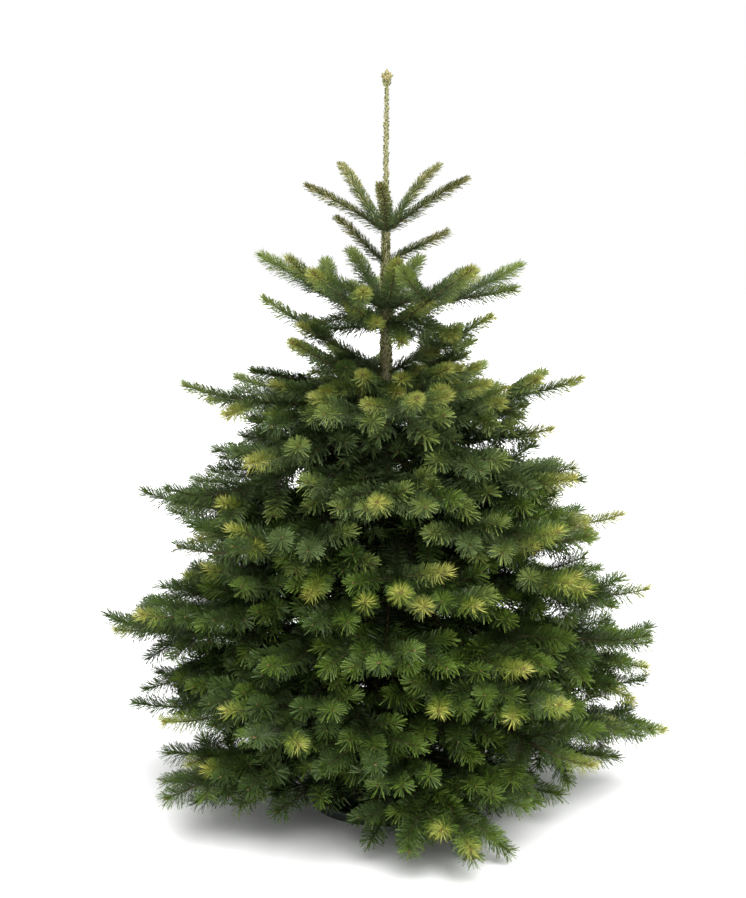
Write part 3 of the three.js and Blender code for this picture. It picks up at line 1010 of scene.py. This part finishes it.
# How needles lean: degrees less above the wood, their spread, the lift of the lower ones, and
# the share of the shoot from which they close over its end, by how much, and shorter by how much.
UPPER_LEAN = 10
LEAN_SPREAD = 6
LOWER_LIFT = 0.1
CLOSING_FROM = 0.75
CLOSING = 0.8
CLOSING_SHORTER = 0.12

# Lengths as shares of a needle's: its spread, less above the wood, at the shoot's foot and what
# each part of the shoot adds, and where the needle bends, by how much up and how much forward.
NEEDLE_SPREAD = (0.8, 1.05)
UPPER_SHORTER = 0.1
FOOT_LENGTH = 0.6
FOOT_GAIN = 4
BEND_AT = 0.6
BEND_UP = 0.28
BEND_FORWARD = 0.12

# A needle's root as a share of the wood's radius, its foot as a share of its width, and how
# far its flat side may turn away.
ROOT_DEPTH = 0.7
FOOT_WIDTH = 0.6
FLAT_SPREAD = 0.4


def along_shoot(points, share):
    """Points of a shoot at shares of its length, and its headings there."""
    step = share * (len(points) - 1)
    before = np.minimum(step.astype(int), len(points) - 2)
    part = (step - before)[:, None]
    heading = unit(np.gradient(points, axis=0))
    return (
        points[before] * (1 - part) + points[before + 1] * part,
        unit(heading[before] * (1 - part) + heading[before + 1] * part),
    )


def needle_corners(points, radii, coat, rng):
    """Corners of the needles of one shoot, and each one's share of the way to its end."""
    count = coat.count
    share = ((np.arange(count) + rng.random(count)) / count) ** DRAW_TO_END
    turn = np.arange(count) * GOLDEN_TURN + rng.normal(0, TURN_SPREAD, count)
    height = np.cos(turn)
    keep = (height > UNDERSIDE) | (rng.random(count) < UNDERSIDE_SHARE)
    share, turn, height = share[keep], turn[keep], height[keep]
    count = len(share)
    root, along = along_shoot(points, share)
    side, lift = shoot_axes(along)
    out = unit(FLATNESS * height[:, None] * lift + np.sin(turn)[:, None] * side)
    closing = np.clip((share - CLOSING_FROM) / (1 - CLOSING_FROM), 0, 1)
    angle = np.radians(coat.lean - UPPER_LEAN * height + rng.normal(0, LEAN_SPREAD, count))
    angle *= 1 - CLOSING * closing * rng.random(count)
    direction = unit(
        np.cos(angle)[:, None] * along
        + np.sin(angle)[:, None] * out
        + LOWER_LIFT * (1 - height)[:, None] * lift
    )
    length = coat.length * (1 - UPPER_SHORTER * height) * rng.uniform(*NEEDLE_SPREAD, count)
    at_foot = np.clip(FOOT_LENGTH + share * FOOT_GAIN, 0, 1)
    reach = (length * at_foot * (1 - CLOSING_SHORTER * closing))[:, None]
    faced = out * 0.5 + lift * 0.5 + rng.normal(0, FLAT_SPREAD, (count, 3))
    half = unit(np.cross(direction, faced)) * coat.width / 2
    radius = radii[0] + (radii[1] - radii[0]) * share
    root = root + out * radius[:, None] * ROOT_DEPTH
    elbow = root + direction * reach * BEND_AT
    bent = unit(direction + BEND_UP * lift + BEND_FORWARD * along)
    tip = elbow + bent * reach * (1 - BEND_AT)
    foot = half * FOOT_WIDTH
    corners = np.stack([root - foot, root + foot, elbow - half, elbow + half, tip], 1)
    above = (corners[:, :, 2] > NEEDLE_CLEARANCE).all(axis=1)
    return corners[above], share[above]


def simpler(corners, kind):
    """Needles with fewer corners: a blunt one has no bend, and a plain one narrows to a point."""
    foot, elbow, tip = corners[:, :2], corners[:, 2:4], corners[:, 4:]
    if kind == "bent":
        return corners
    middle = elbow.mean(axis=1, keepdims=True)
    if kind == "blunt":
        return np.concatenate([foot, elbow + (tip - middle) * BLUNT_REACH], axis=1)
    heart = foot.mean(axis=1, keepdims=True)
    return np.concatenate([heart + (foot - heart) * PLAIN_FOOT_WIDTH, tip], axis=1)


def on_top(shoot):
    """Whether a shoot belongs to the whorls right under the leader."""
    return shoot.keys[0] < TOP_WHORLS


def is_clear(shoot):
    """Whether a shoot ends in the open crown, clear of the mass below."""
    return shoot.points[-1][2] > CLEAR_OF_CROWN


# Exposures, from 0 at the trunk to about 1 at the outline: up to which needles are coarse and
# from which they are fine, up to which the crown is deep shade, painted in darker tones, and up to
# which its needles are hidden, and from which a shoot shows, painted in lighter tones, and from
# which its end may be a bright tip of painted light.
COARSE_EXPOSURE = 0.35
FINE_EXPOSURE = 0.75
DEEP_EXPOSURE = 0.3
HIDDEN_EXPOSURE = 0.4
SEEN_EXPOSURE = 0.5
BRIGHT_EXPOSURE = 0.72


def exposure(shoot):
    """How far out in the crown a shoot ends."""
    end = shoot.points[-1]
    return math.hypot(end[0], end[1]) / float(crown_radius(end[2]))


def coat_of(shoot, needles):
    """A shoot's coat: fine and crowded at the outline, coarse deep inside."""
    length = np.linalg.norm(np.diff(shoot.points, axis=0), axis=1).sum()
    span = FINE_EXPOSURE - COARSE_EXPOSURE
    fine = 1 if is_clear(shoot) else min(1, max(0, (exposure(shoot) - COARSE_EXPOSURE) / span))
    crowding = needles.inner_crowding + (needles.crowding - needles.inner_crowding) * fine
    width = needles.inner_width + (needles.width - needles.inner_width) * fine
    fullness = 1 if is_clear(shoot) else FULLNESS[min(shoot.age, len(FULLNESS) - 1)]
    shape = TOP_COAT if on_top(shoot) else CLEAR_COAT if is_clear(shoot) else FULL_COAT
    crowded, long, lean = shape
    count = int(length * crowding * fullness)
    return Coat(int(count * crowded), needles.length * long, width, lean)


# Directions, in degrees: the sunny one, towards the lamp, and the two between which some sprays
# are painted darker and bluish as shade on the side away from the lamp, with their share there in
# the clear crown and in the rest.
SUNNY_DIRECTION = 300
COOL_SHADE_DIRECTIONS = (120, 250)
CLEAR_COOL_SHADE_SHARE = 0.2
COOL_SHADE_SHARE = 0.35

# Heights of the crown, and the share of its shoots there whose ends are bright tips of painted
# light, which is less for side shoots and nothing right above the floor.
LIT_SHARES = ((0.1, 0.3, 0.45, 0.85), (0.7, 0.6, 0.54, 0.95))
SIDE_LIT_SHARE = 0.6
LOWEST_BRIGHT = 0.08

# How far the needles of two tones mix, as a share of a shoot.
TONE_BLUR = 0.08
TOP_BLUR = 0.25


def tones_of(height, direction, rng):
    """The four tones of a shoot by where it ends, the lightest first."""
    cool_shade_share = CLEAR_COOL_SHADE_SHARE if height > CLEAR_OF_CROWN else COOL_SHADE_SHARE
    # Painted shade: on the side away from the lamp some sprays take darker, bluish tones.
    if COOL_SHADE_DIRECTIONS[0] < direction < COOL_SHADE_DIRECTIONS[1] and rng.random() < cool_shade_share:
        return "cool_shade", "cool_shade", "cool_dark_shade", "cool_dark_shade"
    # Higher in the crown the tones are lighter and more olive: the lightness is partly painted
    # light from above, the olive a real tone.
    if height + UPPER_SPREAD * rng.random() > UPPER_CROWN:
        return "fresh", "sage", "moss", "deep"
    return "lush", "green", "deep", "dark"


def bands_of(shoot, rng):
    """The tones of a shoot, foot first, each with the share of its length where it ends.

    The chance is below 1 towards the sun and may be up to 20 away from it, so the painted light
    of the bright tips falls mostly on the side towards the lamp. Tones darken from a shoot's end
    to its foot: painted shade deeper in the spray.
    """
    end = shoot.points[-1]
    exposed = exposure(shoot)
    direction = math.degrees(math.atan2(end[1], end[0])) % 360
    fresh, green, deep, dark = tones_of(end[2], direction, rng)
    sunny = 0.5 + 0.5 * math.cos(math.radians(direction - SUNNY_DIRECTION))
    chance = rng.random() / (0.05 + 0.95 * sunny)
    lit = np.interp(end[2], *LIT_SHARES)
    if on_top(shoot):
        return [(0.25, deep), (0.5, green), (0.7, "olive"), (0.82, "pale"), (1.0, "olive")]
    if is_clear(shoot):
        return [(0.3, deep), (0.6, green), (0.8, fresh), (1.0, "bright" if chance < lit else fresh)]
    if shoot.age >= 2:
        return [(1.0, dark if chance < 0.6 else deep)]
    if shoot.age == 1:
        return [(1.0, deep if chance < 0.6 else green)]
    # Painted light: a young shoot at the outline and off the floor may end in a bright tip, more
    # often towards the lamp, with a painted highlight in gold on its last needles.
    may_be_bright = exposed > BRIGHT_EXPOSURE and end[2] > LOWEST_BRIGHT
    if may_be_bright and chance < lit * (1 if shoot.order == 0 else SIDE_LIT_SHARE):
        bright = "bright" if fresh == "fresh" else "sunlit_spring"
        return [(0.2, deep), (0.45, green), (0.65, fresh), (0.91, bright), (1.0, "gold_highlight")]
    # Painted shade: shoots that show at the outline take lighter tones than those further in, and
    # those deep in the crown the darkest.
    if exposed > SEEN_EXPOSURE:
        return [(0.4, deep), (0.75, green), (1.0, fresh if chance < 0.9 else green)]
    in_shade = exposed < DEEP_EXPOSURE
    return [(0.5, dark if in_shade else deep), (1.0, deep if in_shade else green)]


# The needles that lie close along the top of the trunk, in rows: where each row starts and
# ends, how many needles it has, their share of the full length, and their angle to the wood.
LEADER_NEEDLES = [
    (0.9, 1.3, 2400, 0.4, 36),
    (1.3, TRUNK_TIP - 0.025, 520, 0.24, 34),
    (TRUNK_TIP - 0.04, TRUNK_TIP - 0.016, 260, 0.3, 48),
]
LEADER_TONES = {"olive": 0.3, "moss": 0.25, "pale": 0.45}
LEADER_STEPS = 30
LEADER_WIDTH = 2


def leader_needles(needles, share, rng):
    """A share of the short needles that lie close along the top of the trunk."""
    rows = []
    for foot, top, count, part, lean in LEADER_NEEDLES:
        heights = np.linspace(foot, top, LEADER_STEPS)
        radii = (float(trunk_radius(foot)), float(trunk_radius(top)))
        width = needles.width * LEADER_WIDTH
        coat = Coat(int(count * share), needles.length * part, width, lean)
        rows.append(needle_corners(trunk_centre(heights), radii, coat, rng)[0])
    return np.concatenate(rows)


def grow_needles(needles):
    """Needle corners of the whole tree, by tone and kind."""
    rng = np.random.default_rng(SEED)
    sprays = defaultdict(list)
    for shoot in grow_crown():
        coat = coat_of(shoot, needles)
        if coat.count < SHOOT_NEEDLES:
            continue
        corners, share = needle_corners(shoot.points, shoot.radii, coat, rng)
        old_or_deep = shoot.age > 0 or exposure(shoot) < HIDDEN_EXPOSURE
        hidden = not is_clear(shoot) and old_or_deep
        blur = TOP_BLUR if on_top(shoot) else TONE_BLUR
        blurred = np.clip(share + rng.normal(0, blur, len(share)), 0, 1)
        start = -1.0
        for end, tone in bands_of(shoot, rng):
            within = corners[(blurred > start) & (blurred <= end)]
            kind = "bent" if tone in BENT_TONES else "plain" if hidden else "blunt"
            sprays[tone, kind].append(simpler(within, kind))
            start = end
    for tone, share in LEADER_TONES.items():
        sprays[tone, "blunt"].append(simpler(leader_needles(needles, share, rng), "blunt"))
    return {spray: np.concatenate(groups) for spray, groups in sprays.items()}


class FIRTREE_OT_needles(bpy.types.Operator):
    """Grows the needles, joined into a piece or two for each tone and kind"""

    bl_idname = "fir_tree.needles"
    bl_label = "Needles"

    def execute(self, context):
        needles = context.scene.fir_needles
        masses = [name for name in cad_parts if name.startswith("foliage_")]
        materials = {}
        for (tone, kind), grown in grow_needles(needles).items():
            if tone not in materials:
                materials[tone] = needle_material(tone, getattr(needles, tone))
            parts = math.ceil(len(grown) / PIECE_NEEDLES)
            for part, corners in enumerate(np.array_split(grown, parts), start=1):
                name = f"{kind}_needles_{tone}_{part}"
                mesh = joined_mesh(name, corners, PATTERNS[kind])
                link(name, mesh, materials[tone], masses)
                masses = []
        return {"FINISHED"}


# ---- Stand

STAND_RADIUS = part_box("stand_foot")[1].x
STAND_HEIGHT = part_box("stand_foot")[1].z
STAND_SEGMENTS = 96
LIP_HEIGHT = 0.024
LIP_WIDTH = 0.014
DISH_FLOOR = 0.010
CUP_RADIUS = 0.060
CUP_WALL = 0.007
CUP_FLOOR = 0.0135
GUSSETS = 4
GUSSET_REACH = 0.084
GUSSET_HEIGHT = 0.092
GUSSET_THICKNESS = 0.006


def finished_mesh(name, bm):
    """The mesh of a shape whose doubles are merged and whose faces are turned out."""
    bmesh.ops.remove_doubles(bm, verts=bm.verts, dist=MERGE_DISTANCE)
    bmesh.ops.recalc_face_normals(bm, faces=bm.faces)
    mesh = bpy.data.meshes.new(name)
    bm.to_mesh(mesh)
    bm.free()
    return mesh


def spin_profile(bm, profile, segments):
    """Spins an open profile of (out, up) points, which starts and ends on the axis, round +Z."""
    line = [bm.verts.new((out, 0, up)) for out, up in profile]
    edges = [bm.edges.new(pair) for pair in zip(line, line[1:])]
    bmesh.ops.spin(
        bm, geom=line + edges, cent=(0, 0, 0), axis=(0, 0, 1), dvec=(0, 0, 0),
        angle=2 * math.pi, steps=segments, use_merge=True, use_duplicate=False,
    )
    bmesh.ops.remove_doubles(bm, verts=bm.verts, dist=MERGE_DISTANCE)


def stand_dish():
    """The dish with its rolled lip and the cup that holds the butt of the trunk."""
    inner = CUP_RADIUS - CUP_WALL
    rolled = [
        (
            STAND_RADIUS - LIP_WIDTH / 2 + LIP_WIDTH / 2 * math.cos(math.radians(turn)),
            LIP_HEIGHT - LIP_WIDTH / 2 + LIP_WIDTH / 2 * math.sin(math.radians(turn)),
        )
        for turn in range(0, 181, 20)
    ]
    profile = [
        (0, 0),
        (STAND_RADIUS - 0.003, 0),
        (STAND_RADIUS - 0.0008, 0.0008),
        (STAND_RADIUS, 0.003),
        *rolled,
        (STAND_RADIUS - LIP_WIDTH - 0.002, DISH_FLOOR + 0.002),
        (STAND_RADIUS - LIP_WIDTH - 0.006, DISH_FLOOR),
        (0.118, DISH_FLOOR),
        (0.114, DISH_FLOOR + 0.003),
        (0.108, DISH_FLOOR + 0.003),
        (0.104, DISH_FLOOR),
        (CUP_RADIUS + 0.018, DISH_FLOOR + 0.003),
        (CUP_RADIUS + 0.007, DISH_FLOOR + 0.008),
        (CUP_RADIUS + 0.002, DISH_FLOOR + 0.020),
        (CUP_RADIUS, STAND_HEIGHT - 0.014),
        (CUP_RADIUS + 0.003, STAND_HEIGHT - 0.010),
        (CUP_RADIUS + 0.003, STAND_HEIGHT - 0.002),
        (CUP_RADIUS + 0.0015, STAND_HEIGHT),
        (inner + 0.0015, STAND_HEIGHT),
        (inner, STAND_HEIGHT - 0.002),
        (inner - 0.003, CUP_FLOOR + 0.004),
        (inner - 0.006, CUP_FLOOR),
        (0, CUP_FLOOR),
    ]
    bm = bmesh.new()
    spin_profile(bm, profile, STAND_SEGMENTS)
    return bm


def add_gussets(bm):
    """Fins from the cup's wall down to the dish."""
    root = CUP_RADIUS - CUP_WALL / 2
    outline = [
        (root, DISH_FLOOR - 0.003),
        (CUP_RADIUS + GUSSET_REACH, DISH_FLOOR - 0.003),
        (CUP_RADIUS + GUSSET_REACH, DISH_FLOOR + 0.003),
        (CUP_RADIUS + 0.02, GUSSET_HEIGHT * 0.62),
        (root, GUSSET_HEIGHT),
    ]
    for index in range(GUSSETS):
        corners = [bm.verts.new((out, -GUSSET_THICKNESS / 2, up)) for out, up in outline]
        face = bm.faces.new(corners)
        pushed = bmesh.ops.extrude_face_region(bm, geom=[face])
        moved = [item for item in pushed["geom"] if isinstance(item, bmesh.types.BMVert)]
        bmesh.ops.translate(bm, vec=(0, GUSSET_THICKNESS, 0), verts=moved)
        turn = Matrix.Rotation(2 * math.pi / GUSSETS * index, 3, "Z")
        bmesh.ops.rotate(bm, cent=(0, 0, 0), matrix=turn, verts=corners + moved)


class FIRTREE_OT_stand(bpy.types.Operator):
    """Moulds the stand: a lipped dish, its cup and the gussets between them"""

    bl_idname = "fir_tree.stand"
    bl_label = "Stand"

    def execute(self, context):
        stand = context.scene.fir_stand
        plastic = plastic_material(stand)
        dish = link(
            "stand_dish", finished_mesh("stand_dish", stand_dish()), plastic,
            ["stand_foot"],
        )
        bm = bmesh.new()
        add_gussets(bm)
        gussets = link(
            "stand_gussets", finished_mesh("stand_gussets", bm), plastic
        )
        for piece in (dish, gussets):
            bevel = piece.modifiers.new("moulded edges", "BEVEL")
            bevel.width = stand.edge
            bevel.segments = 3
            bevel.limit_method = "ANGLE"
            bevel.angle_limit = math.radians(40)
            piece.data.shade_smooth()
        return {"FINISHED"}


# ---- Clamp screws

SCREWS = 4
SCREW_HEIGHT = (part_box("clamp_screw_1")[0].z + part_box("clamp_screw_1")[1].z) / 2
SCREW_DIRECTION = 45
SHAFT_RADIUS = 0.005
PAD_RADIUS = 0.009
PAD_THICKNESS = 0.004
KNOB_RADIUS = 0.015
KNOB_THICKNESS = 0.011
SCREW_REACH = 0.098
THREAD_PITCH = 0.002
THREAD_DEPTH = 0.0007
SCREW_SEGMENTS = 32
KNOB_LOBES = 8
LOBE_DEPTH = 0.09

# The sides of the trunk's solid, and how far each pad stands clear of the side that it faces.
TRUNK_SOLID_SIDES = 12
PAD_CLEARANCE = 0.0003


def screw_shape(index):
    """A clamp screw along +X: its pad, its threaded shaft and its lobed knob, turned to place."""
    flat = float(trunk_radius(SCREW_HEIGHT - PAD_RADIUS)) * math.cos(math.pi / TRUNK_SOLID_SIDES)
    start = flat + PAD_CLEARANCE
    knob_start = SCREW_REACH - KNOB_THICKNESS
    profile = [
        (0, start),
        (PAD_RADIUS - 0.001, start),
        (PAD_RADIUS, start + 0.001),
        (PAD_RADIUS, start + PAD_THICKNESS - 0.001),
        (PAD_RADIUS - 0.001, start + PAD_THICKNESS),
        (SHAFT_RADIUS, start + PAD_THICKNESS + 0.001),
    ]
    along = start + PAD_THICKNESS + 0.002
    while along < knob_start - 0.004:
        profile.append((SHAFT_RADIUS, along))
        profile.append((SHAFT_RADIUS - THREAD_DEPTH, along + THREAD_PITCH / 2))
        along += THREAD_PITCH
    profile += [
        (SHAFT_RADIUS, knob_start - 0.003),
        (SHAFT_RADIUS + 0.002, knob_start - 0.002),
        (KNOB_RADIUS - 0.003, knob_start),
        (KNOB_RADIUS - 0.0008, knob_start + 0.001),
        (KNOB_RADIUS, knob_start + 0.003),
        (KNOB_RADIUS, SCREW_REACH - 0.003),
        (KNOB_RADIUS - 0.001, SCREW_REACH - 0.001),
        (KNOB_RADIUS - 0.004, SCREW_REACH),
        (0.004, SCREW_REACH),
        (0.003, SCREW_REACH - 0.001),
        (0, SCREW_REACH - 0.001),
    ]
    bm = bmesh.new()
    spin_profile(bm, profile, SCREW_SEGMENTS)
    for vertex in bm.verts:
        x, y, z = vertex.co
        out = math.hypot(x, y)
        if out > KNOB_RADIUS * 0.75:
            lobes = 1 - LOBE_DEPTH * (0.5 + 0.5 * math.cos(KNOB_LOBES * math.atan2(y, x)))
            vertex.co = (x * lobes, y * lobes, z)
    turn = Matrix.Rotation(math.radians(SCREW_DIRECTION + 360 / SCREWS * index), 4, "Z")
    place = turn @ Matrix.Translation((0, 0, SCREW_HEIGHT)) @ Matrix.Rotation(math.pi / 2, 4, "Y")
    bmesh.ops.transform(bm, matrix=place, verts=bm.verts)
    return bm


class FIRTREE_OT_screws(bpy.types.Operator):
    """Turns the clamp screws that hold the trunk upright in the cup"""

    bl_idname = "fir_tree.screws"
    bl_label = "Clamp screws"

    def execute(self, context):
        steel = steel_material(context.scene.fir_stand)
        for index in range(SCREWS):
            name = f"screw_{index + 1}"
            mesh = finished_mesh(name, screw_shape(index))
            mesh.shade_smooth()
            piece = link(name, mesh, steel, [f"clamp_screw_{index + 1}"])
            edges = piece.modifiers.new("turned edges", "EDGE_SPLIT")
            edges.split_angle = math.radians(38)
        return {"FINISHED"}


# ---- Stage

FLOOR_RADIUS = 14
LAMP_PLACE = (0.8, -2.0, 4.6)
LAMP_AIM = (0, 0, 0.6)
CAMERA_ASIDE = -0.03
SENSOR_WIDTH = 36


class FIRTREE_OT_stage(bpy.types.Operator):
    """Sets the floor, the soft light and the camera"""

    bl_idname = "fir_tree.stage"
    bl_label = "Stage"

    def execute(self, context):
        stage = context.scene.fir_stage
        add_floor(stage)
        add_lights(context, stage)
        add_camera(context, stage)
        return {"FINISHED"}


def add_floor(stage):
    """A round pale floor."""
    bm = bmesh.new()
    bmesh.ops.create_circle(bm, cap_ends=True, segments=96, radius=FLOOR_RADIUS)
    mesh = bpy.data.meshes.new("floor")
    bm.to_mesh(mesh)
    bm.free()
    floor = bpy.data.objects.new("floor", mesh)
    mesh.materials.append(floor_material(stage))
    bpy.context.scene.collection.objects.link(floor)


def add_lights(context, stage):
    """A soft sun from above the camera's shoulder, in a white surround that gives less light."""
    world = bpy.data.worlds.new("white surround")
    world.use_nodes = True
    tree = world.node_tree
    fill = tree.nodes["Background"]
    fill.inputs["Strength"].default_value = stage.fill
    backdrop = tree.nodes.new("ShaderNodeBackground")
    backdrop.inputs["Strength"].default_value = stage.backdrop
    for background in (fill, backdrop):
        background.inputs["Color"].default_value = (1, 1, 1, 1)
    seen = tree.nodes.new("ShaderNodeLightPath")
    mixed = tree.nodes.new("ShaderNodeMixShader")
    tree.links.new(seen.outputs["Is Camera Ray"], mixed.inputs["Fac"])
    tree.links.new(fill.outputs[0], mixed.inputs[1])
    tree.links.new(backdrop.outputs[0], mixed.inputs[2])
    tree.links.new(mixed.outputs[0], tree.nodes["World Output"].inputs["Surface"])
    context.scene.world = world
    light = bpy.data.lights.new("key light", "SUN")
    light.energy = stage.key
    light.angle = math.radians(stage.softness)
    lamp = bpy.data.objects.new("key light", light)
    lamp.location = LAMP_PLACE
    aim = Vector(LAMP_AIM) - lamp.location
    lamp.rotation_euler = aim.to_track_quat("-Z", "Y").to_euler()
    context.scene.collection.objects.link(lamp)


def add_camera(context, stage):
    """A camera in front of the tree that looks down at it a little."""
    camera = bpy.data.cameras.new("camera")
    camera.lens = stage.lens
    camera.sensor_width = SENSOR_WIDTH
    viewer = bpy.data.objects.new("camera", camera)
    viewer.location = (CAMERA_ASIDE, -stage.distance, stage.eye_height)
    viewer.rotation_euler = (math.pi / 2 - stage.pitch, 0, 0)
    context.scene.collection.objects.link(viewer)
    context.scene.camera = viewer
    context.scene.view_settings.view_transform = "Standard"


# ---- Panel and registration

class FIRTREE_PT_panel(bpy.types.Panel):
    """Lists the settings, and a button for each group of pieces"""

    bl_label = "Fir Tree"
    bl_idname = "FIRTREE_PT_panel"
    bl_space_type = "VIEW_3D"
    bl_region_type = "UI"
    bl_category = "Fir Tree"

    def draw(self, context):
        for name, group in SETTINGS.items():
            box = self.layout.box()
            settings = getattr(context.scene, name)
            for key in group.__annotations__:
                box.prop(settings, key)
        for operator in OPERATORS:
            self.layout.operator(operator.bl_idname)


SETTINGS = {
    "fir_wood": WoodSettings,
    "fir_needles": NeedleSettings,
    "fir_stand": StandSettings,
    "fir_stage": StageSettings,
}
OPERATORS = [
    FIRTREE_OT_stage,
    FIRTREE_OT_trunk,
    FIRTREE_OT_boughs,
    FIRTREE_OT_needles,
    FIRTREE_OT_buds,
    FIRTREE_OT_stand,
    FIRTREE_OT_screws,
]
CLASSES = [*SETTINGS.values(), *OPERATORS, FIRTREE_PT_panel]


def register():
    """Adds the settings, the operators and the panel."""
    for cls in CLASSES:
        bpy.utils.register_class(cls)
    for name, group in SETTINGS.items():
        setattr(bpy.types.Scene, name, PointerProperty(type=group))


def unregister():
    """Takes away what register added."""
    for name in SETTINGS:
        delattr(bpy.types.Scene, name)
    for cls in reversed(CLASSES):
        bpy.utils.unregister_class(cls)


def main():
    """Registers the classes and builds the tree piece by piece."""
    register()
    bpy.ops.fir_tree.stage()
    bpy.ops.fir_tree.trunk()
    bpy.ops.fir_tree.boughs()
    bpy.ops.fir_tree.needles()
    bpy.ops.fir_tree.buds()
    bpy.ops.fir_tree.stand()
    bpy.ops.fir_tree.screws()


if __name__ == "__main__":
    main()
